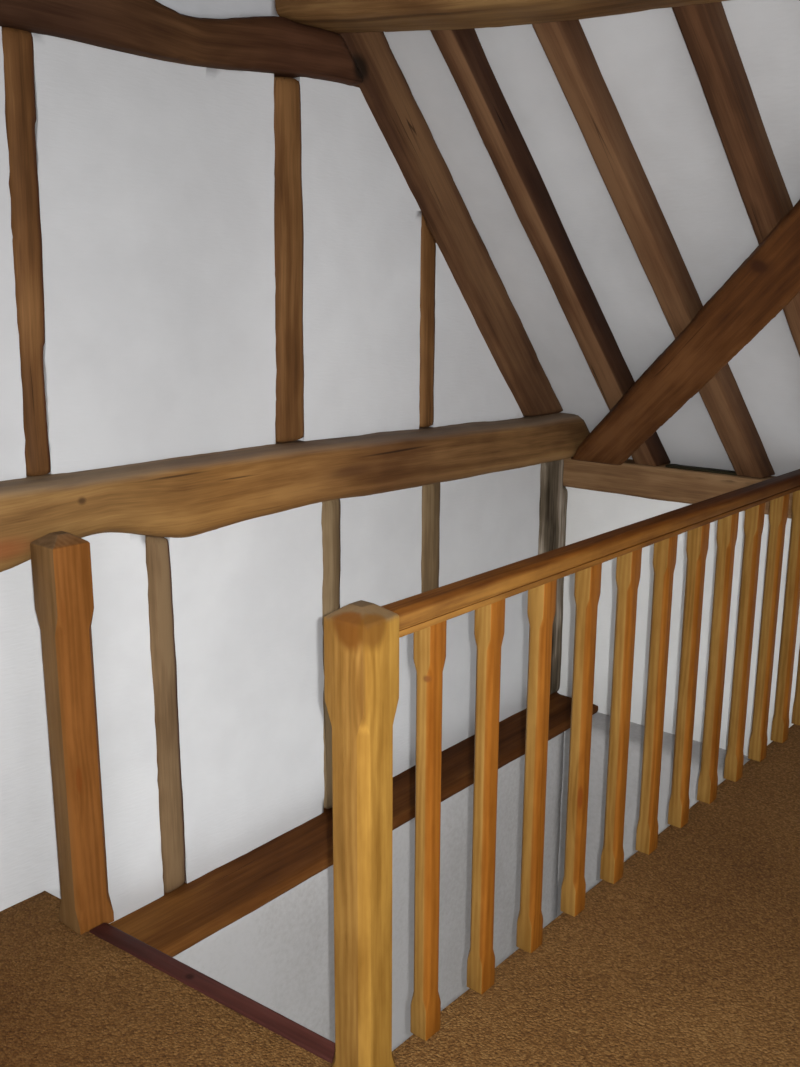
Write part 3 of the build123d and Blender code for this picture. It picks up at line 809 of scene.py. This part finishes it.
def repeated(name: str, model: bpy.types.Object, places: Sequence[Matrix], shades: Sequence[float]
             ) -> bpy.types.Object:
    """One mesh that holds a copy of a model at each place, and then no more of the model.

    Args:
        name: the new piece's name.
        model: what is repeated.
        places: where each copy goes.
        shades: a number for each copy, kept on its points as its shade.

    Returns:
        The new piece.
    """
    points = points_of(model)
    faces = [tuple(polygon.vertices) for polygon in model.data.polygons]
    turns = [np.array(place) for place in places]
    moved = np.concatenate([points @ turn[:3, :3].T + turn[:3, 3] for turn in turns])
    listed = [tuple(index + copy * len(points) for index in face)
              for copy in range(len(turns)) for face in faces]
    mesh = bpy.data.meshes.new(name)
    mesh.from_pydata(moved.tolist(), [], listed)
    piece = bpy.data.objects.new(name, mesh)
    bpy.context.scene.collection.objects.link(piece)
    set_attribute(piece, "shade", np.repeat(np.array(shades), len(points)))
    bpy.data.objects.remove(model)
    return piece


def bevelled_block(size: Point, middle: Point, arris: float) -> bpy.types.Object:
    """A block with broken arrises.

    Args:
        size: its size.
        middle: where its middle is.
        arris: the width of its arrises.

    Returns:
        The block.
    """
    bpy.ops.object.select_all(action="DESELECT")
    bpy.ops.mesh.primitive_cube_add(size=1.0, location=(0, 0, 0))
    block = bpy.context.active_object
    with editing(block):
        bpy.ops.transform.resize(value=size)
        bpy.ops.transform.translate(value=middle)
        bpy.ops.mesh.bevel(offset=arris, segments=1, affect="EDGES")
    return block


def clouds(name: str, scale: float) -> bpy.types.Texture:
    """A soft noise that a modifier displaces points with."""
    texture = bpy.data.textures.new(name, "CLOUDS")
    texture.noise_scale = scale
    texture.noise_depth = 2
    return texture


@dataclass
class Workshop:
    """The frame, the finishes and what every sub-assembly does with them."""

    frame: dict
    finishes: Finishes
    fine_share: float = 0.16
    near_y: float = field(init=False)
    broad: bpy.types.Texture = field(init=False)
    fine: bpy.types.Texture = field(init=False)
    draws: np.random.Generator = field(init=False)

    def __post_init__(self) -> None:
        """Find the open end and make the two noises that wear the timbers."""
        self.near_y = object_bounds()[0][1]
        self.broad = clouds("hewn", 0.34)
        self.fine = clouds("worn", 0.055)
        self.draws = np.random.default_rng(SEED)

    def merged_copy(self, node: str, name: str) -> bpy.types.Object:
        """A copy of a CAD node as clean faces.

        Args:
            node: the node copied.
            name: the copy's name.

        Returns:
            The copy, with its flat faces joined up.
        """
        piece = bpy.data.objects.new(name, self.frame["nodes"][node].data.copy())
        bpy.context.scene.collection.objects.link(piece)
        with editing(piece):
            bpy.ops.mesh.remove_doubles(threshold=MERGE_GAP)
            bpy.ops.mesh.dissolve_limited(angle_limit=FLAT_ANGLE)
        return piece

    def keep_inside(self, piece: bpy.types.Object) -> None:
        """Bring back what has passed the open end."""
        points = points_of(piece)
        points[:, 1] = np.maximum(points[:, 1], self.near_y)
        set_points(piece, points)

    def done(self, piece: bpy.types.Object, finish: str, slot: str, *nodes: str) -> bpy.types.Object:
        """Finish a piece all over, attach it to the barn and hide the nodes that it stands for.

        Args:
            piece: the piece.
            finish: its finish.
            slot: not used.
            nodes: the nodes that it replaces.

        Returns:
            The piece.
        """
        piece.data.materials.clear()
        piece.data.materials.append(self.finishes[finish])
        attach(piece, BODY)
        if nodes:
            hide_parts(*nodes)
        log.info("%s: %d faces", piece.name, len(piece.data.polygons))
        return piece

    def lay_grain(self, piece: bpy.types.Object, direction: Point, pith: float) -> None:
        """Keep each point's place along and across the grain, one solid at a time.

        Args:
            piece: the timber or timbers.
            direction: the way the grain runs.
            pith: how far the heart of the tree lies from the middle of each timber.
        """
        points = points_of(piece)
        along_axis = Vector(direction).normalized()
        side_axis = along_axis.orthogonal().normalized()
        through_axis = along_axis.cross(side_axis)
        local = points @ np.array([along_axis, side_axis, through_axis]).T
        islands = islands_of(piece)
        grain = np.empty_like(local)
        for island in range(islands.max() + 1):
            chosen = islands == island
            part = local[chosen]
            low, high = part[:, 0].min(), part[:, 0].max()
            stations = np.linspace(low, high, max(2, int((high - low) / GRAIN_STEP)))
            home = np.clip(np.searchsorted(stations, part[:, 0]) - 1, 0, len(stations) - 2)
            middles = np.array([(part[home == i, 1:].max(0) + part[home == i, 1:].min(0)) / 2
                                if (home == i).any() else part[:, 1:].mean(0)
                                for i in range(len(stations) - 1)])
            centres = (stations[:-1] + stations[1:]) / 2
            lines = [np.interp(part[:, 0], centres, middles[:, i]) for i in (0, 1)]
            turn = self.draws.uniform(0, math.tau)
            shift = (pith * math.cos(turn), pith * math.sin(turn))
            grain[chosen, 0] = part[:, 0] + self.draws.uniform(-GRAIN_SHIFT, GRAIN_SHIFT)
            grain[chosen, 1] = part[:, 1] - lines[0] + shift[0]
            grain[chosen, 2] = part[:, 2] - lines[1] + shift[1]
        set_attribute(piece, "grain", grain)

    def worn_timber(self, node: str, finish: str, slot: str, direction: Point, voxel: float = 0.015,
                    wave: float = 0.012, pith: float = 0.04, rounds: int = 4) -> bpy.types.Object:
        """Make the uneven, round-edged timber that a node stands for.

        Args:
            node: the node, which the timber replaces.
            finish: its finish.
            slot: its slot in the record.
            direction: the way its grain runs.
            voxel: the size of its faces.
            wave: how much its faces wander.
            pith: how far its grain lies from the heart.
            rounds: how often its faces are evened out.

        Returns:
            The timber.
        """
        piece = self.merged_copy(node, f"{node}_hewn")
        apply_modifier(piece, "REMESH", mode="VOXEL", voxel_size=voxel, adaptivity=0.0)
        apply_modifier(piece, "SMOOTH", factor=0.5, iterations=rounds)
        displace(piece, self.broad, wave)
        displace(piece, self.fine, wave * self.fine_share)
        self.keep_inside(piece)
        for polygon in piece.data.polygons:
            polygon.use_smooth = True
        self.lay_grain(piece, direction, pith)
        return self.done(piece, finish, slot, node)

    def cut_grid(self, piece: bpy.types.Object, axes: Sequence[Point], step: float) -> None:
        """Cut a piece right through in a grid.

        Args:
            piece: the piece.
            axes: the directions to cut across.
            step: the distance between two cuts.
        """
        points = points_of(piece)
        with editing(piece):
            for axis in axes:
                reach = points @ np.array(axis)
                count = max(1, round((reach.max() - reach.min()) / step))
                for place in np.linspace(reach.min(), reach.max(), count + 1)[1:-1]:
                    bpy.ops.mesh.select_all(action="SELECT")
                    bpy.ops.mesh.bisect(plane_co=tuple(place * part for part in axis), plane_no=axis)

    def sawn_timber(self, node: str, finish: str, slot: str, direction: Point, arris: float, wave: float,
                    step: float = 0.09, pith: float = 0.04) -> bpy.types.Object:
        """Make straight-edged timbers with worn arrises that wander a little along their length.

        Args:
            node: the node, which the timbers replace.
            finish: their finish.
            slot: their slot in the record.
            direction: the way their grain runs.
            arris: the radius of their arrises.
            wave: how much their faces wander.
            step: the distance between two cuts across them.
            pith: how far their grain lies from the heart.

        Returns:
            The timbers.
        """
        piece = self.merged_copy(node, f"{node}_sawn")
        break_arrises(piece, arris, segments=3)
        self.cut_grid(piece, (direction,), step)
        with editing(piece):
            bpy.ops.mesh.quads_convert_to_tris()
        displace(piece, self.broad, wave)
        self.keep_inside(piece)
        smooth(piece)
        self.lay_grain(piece, direction, pith)
        return self.done(piece, finish, slot, node)

    def planed_timber(self, node: str, finish: str, slot: str, direction: Point, arris: float,
                      pith: float) -> bpy.types.Object:
        """Make a planed piece with lightly broken arrises.

        Args:
            node: the node, which the piece replaces.
            finish: its finish.
            slot: its slot in the record.
            direction: the way its grain runs.
            arris: the radius of its arrises.
            pith: how far its grain lies from the heart.

        Returns:
            The piece.
        """
        piece = self.merged_copy(node, f"{node}_planed")
        break_arrises(piece, arris)
        with editing(piece):
            bpy.ops.mesh.quads_convert_to_tris()
        smooth(piece)
        self.lay_grain(piece, direction, pith)
        return self.done(piece, finish, slot, node)


@dataclass
class GableFrame:
    """Tie beam, collar, gable rafters, studs and corner posts."""

    shop: Workshop
    tie_wave: float = 0.016
    stud_wave: float = 0.012
    rafter_wave: float = 0.008
    rafter_voxel: float = 0.011
    rafter_rounds: int = 12

    def build(self) -> None:
        """Make every timber of the gable."""
        shop = self.shop
        shop.worn_timber("tie_beam", "tie", "waxed_oak", (1, 0, 0), wave=self.tie_wave)
        shop.worn_timber("collar", "collar", "dark_oak", (1, 0, 0))
        shop.worn_timber("upper_studs", "upper_stud", "grey_oak", (0, 0, 1), wave=self.stud_wave)
        shop.worn_timber("lower_studs", "lower_stud", "grey_oak", (0, 0, 1), wave=self.stud_wave)
        for side in Side:
            shop.worn_timber(side.mate("gable_rafter"), "gable", "dark_oak", side.down(),
                             voxel=self.rafter_voxel, wave=self.rafter_wave, rounds=self.rafter_rounds)
            shop.worn_timber(side.mate("corner_post"), "post", "weathered_oak", (0, 0, 1))


@dataclass
class RoofFrame:
    """Common rafters, purlins, wind braces, wall plates and the collar at the open end."""

    shop: Workshop
    rafter_arris: float = 0.011
    rafter_wave: float = 0.009
    brace_voxel: float = 0.011
    brace_rounds: int = 10
    packing_voxel: float = 0.004
    packing_wave: float = 0.003

    def build(self) -> None:
        """Make every timber of the roof."""
        shop = self.shop
        for side in Side:
            shop.sawn_timber(side.mate("common_rafters"), "rafter", "dark_oak", side.down(),
                             self.rafter_arris, self.rafter_wave)
            shop.worn_timber(side.mate("purlin"), "purlin", "dark_oak", (0, 1, 0))
            brace = side.mate("wind_brace")
            shop.worn_timber(brace, "brace", "dark_oak", self.length_of(shop.frame["nodes"][brace]),
                             voxel=self.brace_voxel, rounds=self.brace_rounds)
            shop.worn_timber(side.mate("wall_plate"), "plate", "dark_oak", (0, 1, 0))
        shop.worn_timber("near_collar", "dark", "dark_oak", (1, 0, 0))
        shop.worn_timber("plate_packing", "packing", "packing", (0, 1, 0), voxel=self.packing_voxel,
                         wave=self.packing_wave)

    @staticmethod
    def length_of(timber: bpy.types.Object) -> Point:
        """The way a straight timber runs, from its longest spread."""
        points = points_of(timber)
        return tuple(np.linalg.svd(points - points.mean(0), full_matrices=False)[2][0])


@dataclass
class PlasterWork:
    """White panels between the timbers, lapped on to them by hand, and the ceiling slopes."""

    shop: Workshop
    step: float = 0.028
    swell: float = 0.0035
    flush_rise: float = 0.0008
    rise: float = 0.0022
    lap: float = 0.0060
    fillet: float = 0.040
    slope_step: float = 0.036
    slope_fillet: float = 0.045
    wall_step: float = 0.07
    touching: float = 0.003

    def build(self) -> None:
        """Make every plastered surface."""
        for place in ("lower", "upper", "apex"):
            self.panels(f"{place}_infill", f"{place}_plaster")
        for side in Side:
            self.slope(side)
            self.low_wall(side.mate("eaves_wall"))

    def solid_of(self, *nodes: str) -> BVHTree:
        """The closed surfaces of some nodes, to measure distances from."""
        points: list[Vector] = []
        faces: list[list[int]] = []
        for node in nodes:
            mesh = self.shop.frame["nodes"][node].data
            start = len(points)
            points.extend(vertex.co for vertex in mesh.vertices)
            faces.extend([start + index for index in polygon.vertices] for polygon in mesh.polygons)
        return BVHTree.FromPolygons(points, faces)

    def panels(self, node: str, finish: str) -> bpy.types.Object:
        """Plaster panels of the gable, thickened and lapped where they meet timber.

        Args:
            node: the panels' node, which the piece replaces.
            finish: their finish.

        Returns:
            The panels.
        """
        piece = self.shop.merged_copy(node, f"{node}_plaster")
        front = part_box(node)[0].y
        self.shop.cut_grid(piece, ((1, 0, 0), (0, 0, 1)), self.step)
        self.lap_edges(piece, front)
        smooth(piece, BLUNT_ANGLE)
        return self.shop.done(piece, finish, "plaster", node)

    def lap_edges(self, piece: bpy.types.Object, front: float) -> None:
        """Swell the panels, raise their edges and run them a little over flush timbers.

        Args:
            piece: the panels.
            front: where their room side is.
        """
        mesh = piece.data
        sides = [list(polygon.vertices) for polygon in mesh.polygons if abs(polygon.normal.y) < 0.5]
        walls = BVHTree.FromPolygons([vertex.co.copy() for vertex in mesh.vertices], sides)
        flush = self.solid_of("lower_studs", "upper_studs", "corner_post_left", "corner_post_right")
        edge = np.zeros(len(mesh.vertices))
        for vertex in mesh.vertices:
            if vertex.co.y > front + 0.001:
                continue
            place, normal, _, away = walls.find_nearest(vertex.co)
            nearness = max(0.0, 1.0 - away / self.fillet) ** 2
            meets_flush = flush.find_nearest(place)[3] < self.touching
            lumpy = noise.noise(vertex.co * 8.0) * 0.5 + noise.noise(vertex.co * 24.0) * 0.7
            lift = (self.flush_rise if meets_flush else self.rise * (1.0 + lumpy)) * nearness
            move = Vector((0.0, -lift + self.swell * noise.noise(vertex.co * 2.6), 0.0))
            if away < FACE_GAP:
                out = Vector((normal.x, 0.0, normal.z))
                move += out * (self.lap * (0.15 + lumpy) if meets_flush else 0.001)
            edge[vertex.index] = nearness
            vertex.co += move
        set_attribute(piece, "edge", edge)

    def slope(self, side: Side) -> bpy.types.Object:
        """One ceiling slope, thicker against the rafters.

        Args:
            side: the side that it is on.

        Returns:
            The ceiling.
        """
        node = side.mate("roof_lining")
        piece = self.shop.merged_copy(node, f"{node}_plaster")
        self.shop.cut_grid(piece, (side.down(), (0, 1, 0)), self.slope_step)
        rafters = self.solid_of(side.mate("common_rafters"), side.mate("gable_rafter"))
        inward = Vector(side.down()).cross(Vector((0, 1, 0)))
        if inward.z > 0:
            inward.negate()
        middle = Vector(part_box(node)[0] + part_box(node)[1]) / 2
        edge = np.zeros(len(piece.data.vertices))
        for vertex in piece.data.vertices:
            if (vertex.co - middle).dot(inward) < 0.0:
                continue
            away = rafters.find_nearest(vertex.co)[3]
            nearness = max(0.0, 1.0 - away / self.slope_fillet)
            lumpy = noise.noise(vertex.co * 10.0) * 0.6
            swell = self.swell * noise.noise(vertex.co * 2.4)
            vertex.co += inward * (self.rise * nearness * (1.1 + lumpy) + swell)
            vertex.co.y = max(vertex.co.y, self.shop.near_y)
            edge[vertex.index] = nearness * 0.8
        set_attribute(piece, "edge", edge)
        smooth(piece, BLUNT_ANGLE)
        return self.shop.done(piece, "lining_plaster", "plaster", node)

    def low_wall(self, node: str) -> bpy.types.Object:
        """One low wall under a plate.

        Args:
            node: the wall's node, which the piece replaces.

        Returns:
            The wall.
        """
        piece = self.shop.merged_copy(node, f"{node}_plaster")
        self.shop.cut_grid(piece, ((0, 1, 0), (0, 0, 1)), self.wall_step)
        low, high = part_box(node)
        for vertex in piece.data.vertices:
            if low.y < vertex.co.y < high.y:
                vertex.co.x += self.swell * noise.noise(vertex.co * 2.6)
        set_attribute(piece, "edge", np.zeros(len(piece.data.vertices)))
        smooth(piece, BLUNT_ANGLE)
        return self.shop.done(piece, "eaves_plaster", "plaster", node)


@dataclass
class LoftFloor:
    """Ledge, beam, joists, boards, nosing and carpet."""

    shop: Workshop
    ledge_voxel: float = 0.012
    ledge_wave: float = 0.006
    nosing_arris: float = 0.006
    joist_arris: float = 0.004
    pith: float = 0.05
    board_width: float = 0.165
    board_gap: float = 0.0016
    board_pith: float = 0.04
    carpet_step: float = 0.045
    carpet_swell: float = 0.0016
    carpet_edge: float = 0.003

    def build(self) -> None:
        """Make and dress every piece of the floor."""
        shop = self.shop
        shop.worn_timber("sill_ledge", "ledge", "waxed_oak", (1, 0, 0), voxel=self.ledge_voxel,
                         wave=self.ledge_wave)
        shop.planed_timber("landing_nosing", "trim", "dark_trim", (0, 1, 0), self.nosing_arris, self.pith)
        for node, finish, along in (("bridging_beam", "softwood_x", (1, 0, 0)),
                                    ("stair_trimmer", "softwood_x", (1, 0, 0)),
                                    ("floor_joists", "softwood_y", (0, 1, 0)),
                                    ("landing_trimmer", "softwood_y", (0, 1, 0))):
            shop.planed_timber(node, finish, "sawn_softwood", along, self.joist_arris, self.pith)
        self.boards()
        self.carpet()

    def boards(self) -> bpy.types.Object:
        """The loft's boards, one by one across the joists."""
        low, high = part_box("floor_boards")
        count = round((high.y - low.y) / self.board_width)
        width = (high.y - low.y) / count
        strips = []
        for number in range(count):
            strip = self.shop.merged_copy("floor_boards", f"board_{number}")
            start = low.y + number * width
            for edge, first in ((start + self.board_gap / 2, True),
                                (start + width - self.board_gap / 2, False)):
                with editing(strip):
                    bpy.ops.mesh.bisect(plane_co=(0, edge, 0), plane_no=(0, 1, 0), use_fill=True,
                                        clear_inner=first, clear_outer=not first)
            strips.append(strip)
        choose(*strips)
        bpy.ops.object.join()
        piece = strips[0]
        piece.name = "floor_boards_laid"
        self.shop.lay_grain(piece, (1, 0, 0), self.board_pith)
        return self.shop.done(piece, "softwood_x", "sawn_softwood", "floor_boards")

    def carpet(self) -> bpy.types.Object:
        """The carpet, a little uneven and soft along its edges."""
        piece = self.shop.merged_copy("carpet", "carpet_looped")
        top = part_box("carpet")[1].z
        self.shop.cut_grid(piece, ((1, 0, 0), (0, 1, 0)), self.carpet_step)
        for vertex in piece.data.vertices:
            if vertex.co.z > top - FACE_GAP:
                swell = noise.noise(vertex.co * 5.0) + noise.noise(vertex.co * 17.0)
                vertex.co.z += self.carpet_swell * swell
        break_arrises(piece, self.carpet_edge, angle=BLUNT_ANGLE)
        smooth(piece, BLUNT_ANGLE)
        return self.shop.done(piece, "carpet", "carpet", "carpet")


@dataclass
class StairGuard:
    """Newels, handrail and balusters round the stairwell."""

    shop: Workshop
    arris: float = 0.0022

    def build(self) -> None:
        """Make every piece of the guard."""
        for node, finish, slot, along, pith in (
                ("stair_newel", "stair_newel", "varnished_pine", (0, 0, 1), 0.055),
                ("wall_newel", "wall_newel", "old_pine", (0, 0, 1), 0.05),
                ("handrail", "rail", "varnished_pine", (1, 0, 0), 0.06),
                ("balusters", "baluster", "varnished_pine", (0, 0, 1), 0.07)):
            self.shop.planed_timber(node, finish, slot, along, self.arris, pith)


@dataclass
class RoofCovering:
    """Plain tiles laid on close boards on both slopes, and half-round ridge tiles bedded in mortar."""

    shop: Workshop
    tile_length: float = 0.265
    tile_width: float = 0.166
    tile_thickness: float = 0.012
    tile_gap: float = 0.0025
    tile_arris: float = 0.0018
    gauge: float = 0.100
    layer: float = 0.0130
    board_depth: float = 0.042
    board_pith: float = 0.04
    eaves_tile: float = 0.165
    loose: float = 0.0012
    tilt: float = 0.004
    skew: float = 0.003
    ridge_count: int = 8
    ridge_joint: float = 0.007
    ridge_arris: float = 0.003
    ridge_angle: float = math.radians(50)
    bedding: Point = (0.975, 0.996, 0.975)

    def build(self) -> None:
        """Make both tiled slopes and the ridge."""
        for side in Side:
            self.boards(side)
            self.tiles(side)
        self.ridge()

    def frame_of(self, side: Side) -> tuple[Vector, Vector, Vector, Vector]:
        """The covering's upper edge, and the ways up the slope, along the roof and out of it."""
        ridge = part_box(side.mate("roof_covering"))[1].z
        up = Vector((-side.value * math.cos(SLOPE), 0.0, math.sin(SLOPE)))
        out = Vector((side.value * math.sin(SLOPE), 0.0, math.cos(SLOPE)))
        return Vector((0.0, 0.0, ridge)), up, out.cross(up), out

    def boards(self, side: Side) -> bpy.types.Object:
        """The close boards that the tiles lie on.

        Args:
            side: the side that they are on.

        Returns:
            The boards.
        """
        piece = self.shop.merged_copy(side.mate("roof_covering"), side.mate("roof_boards"))
        top, _, _, out = self.frame_of(side)
        with editing(piece):
            bpy.ops.mesh.bisect(plane_co=tuple(top - out * self.board_depth), plane_no=tuple(out),
                                use_fill=True, clear_outer=True)
        self.shop.lay_grain(piece, (0, 1, 0), self.board_pith)
        return self.shop.done(piece, "softwood_y", "sawn_softwood")

    def tiles(self, side: Side) -> bpy.types.Object:
        """Courses of tiles from the eaves to the ridge, their joints staggered, each tile a little askew.

        Args:
            side: the side that they are on.

        Returns:
            The tiles.
        """
        node = side.mate("roof_covering")
        low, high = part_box(node)
        top, up, along, out = self.frame_of(side)
        slope_length = max(abs(low.x), abs(high.x)) / math.cos(SLOPE)
        columns = round((high.y - low.y) / self.tile_width)
        width = (high.y - low.y) / columns
        draws = self.shop.draws
        places, shades = [], []
        courses = int((slope_length - self.gauge / 2) / self.gauge)
        for course in range(-1, courses):
            under_eaves = course < 0
            row = max(course, 0)
            from_ridge = slope_length - row * self.gauge - 0.001
            length = min(self.tile_length, from_ridge - self.ridge_joint)
            if under_eaves:
                length = self.eaves_tile
            sunk = self.layer if under_eaves else 0.0
            halves = (course % 2 == 1)
            middles = [(column + (0.0 if halves else 0.5)) * width for column in range(columns + halves)]
            for middle in middles:
                half = halves and (middle in (middles[0], middles[-1]))
                share = 0.5 if half else 1.0
                centre = middle + (width / 4 if middle == middles[0] else -width / 4) * half
                tail = top - up * from_ridge - out * (sunk + draws.uniform(0.0, self.loose))
                tail.y = low.y + centre
                pitch = math.atan(self.layer / self.gauge) + draws.normal(0.0, self.tilt)
                lie = up * math.cos(pitch) - out * math.sin(pitch)
                face = out * math.cos(pitch) + up * math.sin(pitch)
                place = Matrix.Identity(4)
                stretched = lie * (length / self.tile_length)
                for column, axis in enumerate((stretched, along * share, face, tail)):
                    for part in range(3):
                        place[part][column] = axis[part]
                places.append(place @ Matrix.Rotation(draws.normal(0.0, self.skew), 4, "Z"))
                shades.append(draws.random())
        tile = bevelled_block((self.tile_length, width - self.tile_gap, self.tile_thickness),
                              (self.tile_length / 2, 0.0, -self.tile_thickness / 2), self.tile_arris)
        piece = repeated(side.mate("tiles"), tile, places, shades)
        points = points_of(piece)
        points[:, 1] = np.clip(points[:, 1], low.y, high.y)
        set_points(piece, points)
        return self.shop.done(piece, "tile", "clay_tile", node)

    def ridge(self) -> bpy.types.Object:
        """Half-round ridge tiles end to end, with mortar in their joints."""
        low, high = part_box("ridge_tiles")
        length = (high.y - low.y) / self.ridge_count
        mortar = self.shop.merged_copy("ridge_tiles", "ridge_mortar")
        with editing(mortar):
            centre = (0.0, (low.y + high.y) / 2, high.z - (high.x - low.x) / 2)
            bpy.ops.transform.resize(value=self.bedding, center_override=centre)
        self.shop.done(mortar, "mortar", "limewash")
        model = self.shop.merged_copy("ridge_tiles", "ridge_tile")
        with editing(model):
            bpy.ops.mesh.bisect(plane_co=(0, low.y + length - self.ridge_joint, 0), plane_no=(0, 1, 0),
                                use_fill=True, clear_outer=True)
        break_arrises(model, self.ridge_arris, angle=self.ridge_angle)
        shift = self.ridge_joint / 2
        places = [Matrix.Translation((0, shift + number * length, 0))
                  for number in range(self.ridge_count)]
        piece = repeated("ridge_tiles_laid", model, places, self.shop.draws.random(self.ridge_count))
        smooth(piece)
        return self.shop.done(piece, "tile", "clay_tile", "ridge_tiles")


@dataclass
class GroundWalls:
    """Limewashed rough walls of the ground storey."""

    shop: Workshop
    step: float = 0.055
    hollows: float = 0.007

    def build(self) -> None:
        """Make every wall."""
        for node in ("ground_gable_wall", "ground_side_wall_left", "ground_side_wall_right"):
            self.wall(node)

    def wall(self, node: str) -> bpy.types.Object:
        """One wall with an uneven face.

        Args:
            node: the wall's node, which the piece replaces.

        Returns:
            The wall.
        """
        piece = self.shop.merged_copy(node, f"{node}_limewashed")
        self.shop.cut_grid(piece, ((1, 0, 0), (0, 1, 0), (0, 0, 1)), self.step)
        low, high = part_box(node)
        for vertex in piece.data.vertices:
            lumpy = 0.5 * noise.noise(vertex.co * 4.0) + 0.3 * noise.noise(vertex.co * 11.0)
            hollow = max(0.0, self.hollows * (0.5 + lumpy))
            for part in (0, 1):
                if abs(vertex.co[part] - low[part]) < FACE_GAP:
                    vertex.co[part] += hollow
                elif abs(vertex.co[part] - high[part]) < FACE_GAP:
                    vertex.co[part] -= hollow
        smooth(piece, BLUNT_ANGLE)
        return self.shop.done(piece, "limewash", "limewash", node)


@dataclass(frozen=True)
class Lamp:
    """One soft lamp, which isn't seen itself: power in watts, spread of its beam in degrees."""

    name: str
    place: Point
    aim: Point
    size: tuple[float, float]
    power: float
    glints: bool = False
    spread: float = 180.0

    def hang(self) -> None:
        """Hang the lamp."""
        data = bpy.data.lights.new(self.name, "AREA")
        data.shape = "RECTANGLE"
        data.size, data.size_y = self.size
        data.energy = self.power
        data.spread = math.radians(self.spread)
        lamp = bpy.data.objects.new(self.name, data)
        lamp.location = self.place
        lamp.rotation_euler = (Vector(self.aim) - Vector(self.place)).to_track_quat("-Z", "Y").to_euler()
        lamp.visible_camera = False
        lamp.visible_glossy = self.glints
        bpy.context.scene.collection.objects.link(lamp)


@dataclass
class Stage:
    """Floor, lamps, background and camera."""

    eye: Point = (-0.900, -0.7254, 3.794)
    heading: float = math.radians(40.6352 - 90)
    tilt: float = math.radians(90 - 12.9212)
    roll: float = math.radians(0.2634)
    focal: float = 1036.3
    picture_height: float = 1067.0
    sensor: float = 36.0
    nearest: float = 0.02
    flash_aside: float = 0.025
    flash_above: float = 0.010
    floor_size: float = 60.0
    floor_drop: float = 0.002
    floor_grey: float = 0.72
    floor_roughness: float = 0.9
    world_light: float = 0.50
    world_seen: float = 0.95

    def camera(self) -> None:
        """Stand the camera where the photograph was taken."""
        data = bpy.data.cameras.new("view")
        data.sensor_fit = "VERTICAL"
        data.sensor_height = self.sensor
        data.lens = self.focal / self.picture_height * self.sensor
        data.clip_start = self.nearest
        camera = bpy.data.objects.new("view", data)
        camera.location = self.eye
        aim = Euler((self.tilt, 0.0, self.heading)).to_matrix()
        camera.rotation_euler = (aim @ Euler((0.0, 0.0, self.roll)).to_matrix()).to_euler()
        bpy.context.scene.collection.objects.link(camera)
        bpy.context.scene.camera = camera

    def floor(self) -> None:
        """Lay a plain pale floor."""
        bpy.ops.object.select_all(action="DESELECT")
        bpy.ops.mesh.primitive_plane_add(size=self.floor_size, location=(0, 0, -self.floor_drop))
        ground = bpy.context.active_object
        ground.name = "stage_floor"
        grey = (self.floor_grey, self.floor_grey, self.floor_grey, 1.0)
        ground.data.materials.append(Recipe("stage_floor").finish(grey, self.floor_roughness))
        ground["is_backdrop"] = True

    def world(self) -> None:
        """Even pale surroundings, seen as near white."""
        world = bpy.data.worlds.new("surroundings")
        world.use_nodes = True
        tree = world.node_tree
        tree.nodes.clear()
        path = tree.nodes.new("ShaderNodeLightPath")
        shown = tree.nodes.new("ShaderNodeMath")
        shown.operation = "MAXIMUM"
        level = tree.nodes.new("ShaderNodeMath")
        level.operation = "MULTIPLY_ADD"
        level.inputs[1].default_value = self.world_seen - self.world_light
        level.inputs[2].default_value = self.world_light
        background = tree.nodes.new("ShaderNodeBackground")
        output = tree.nodes.new("ShaderNodeOutputWorld")
        for start, end in ((path.outputs["Is Camera Ray"], shown.inputs[0]),
                           (path.outputs["Is Glossy Ray"], shown.inputs[1]),
                           (shown.outputs[0], level.inputs[0]),
                           (level.outputs[0], background.inputs["Strength"]),
                           (background.outputs[0], output.inputs["Surface"])):
            tree.links.new(start, end)
        bpy.context.scene.world = world

    def build(self) -> None:
        """Set up all that surrounds the barn."""
        self.floor()
        self.world()
        right = Vector((math.cos(self.heading), math.sin(self.heading), 0.0))
        flash = Vector(self.eye) + right * self.flash_aside + Vector((0, 0, self.flash_above))
        for lamp in (
                Lamp("beside_the_eye", tuple(flash), (1.35, 1.3, 2.55), (0.012, 0.012), 29.0, True, 122.0),
                Lamp("by_the_stairs", (-1.7, -1.3, 3.4), (1.7, 0.9, 2.8), (0.7, 0.5), 7.0, spread=100.0),
                Lamp("open_end", (0.0, -2.6, 3.0), (0.3, 1.2, 2.8), (4.0, 1.6), 36.0),
                Lamp("ground_end", (0.0, -2.6, 1.2), (0.0, 0.6, 1.1), (4.0, 2.0), 30.0),
                Lamp("right_front", (8.0, -5.5, 8.0), (0.5, 0.0, 3.0), (5.0, 5.0), 420.0),
                Lamp("behind", (3.5, 8.5, 7.5), (0.0, 0.5, 3.0), (6.0, 5.0), 520.0),
                Lamp("left", (-9.0, -3.0, 8.0), (0.0, 0.0, 3.5), (6.0, 5.0), 520.0)):
            lamp.hang()
        self.camera()
        bpy.context.scene.view_settings.view_transform = "Standard"


def main() -> None:
    """Dress the frame, piece by piece, and set the stage."""
    logging.basicConfig(level=logging.INFO, format="%(name)s: %(message)s")
    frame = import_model()
    shop = Workshop(frame, Finishes())
    for assembly in (GableFrame(shop), RoofFrame(shop), PlasterWork(shop), LoftFloor(shop),
                     StairGuard(shop), RoofCovering(shop), GroundWalls(shop), Stage()):
        log.info("building %s", type(assembly).__name__)
        assembly.build()


if __name__ == "__main__":
    main()
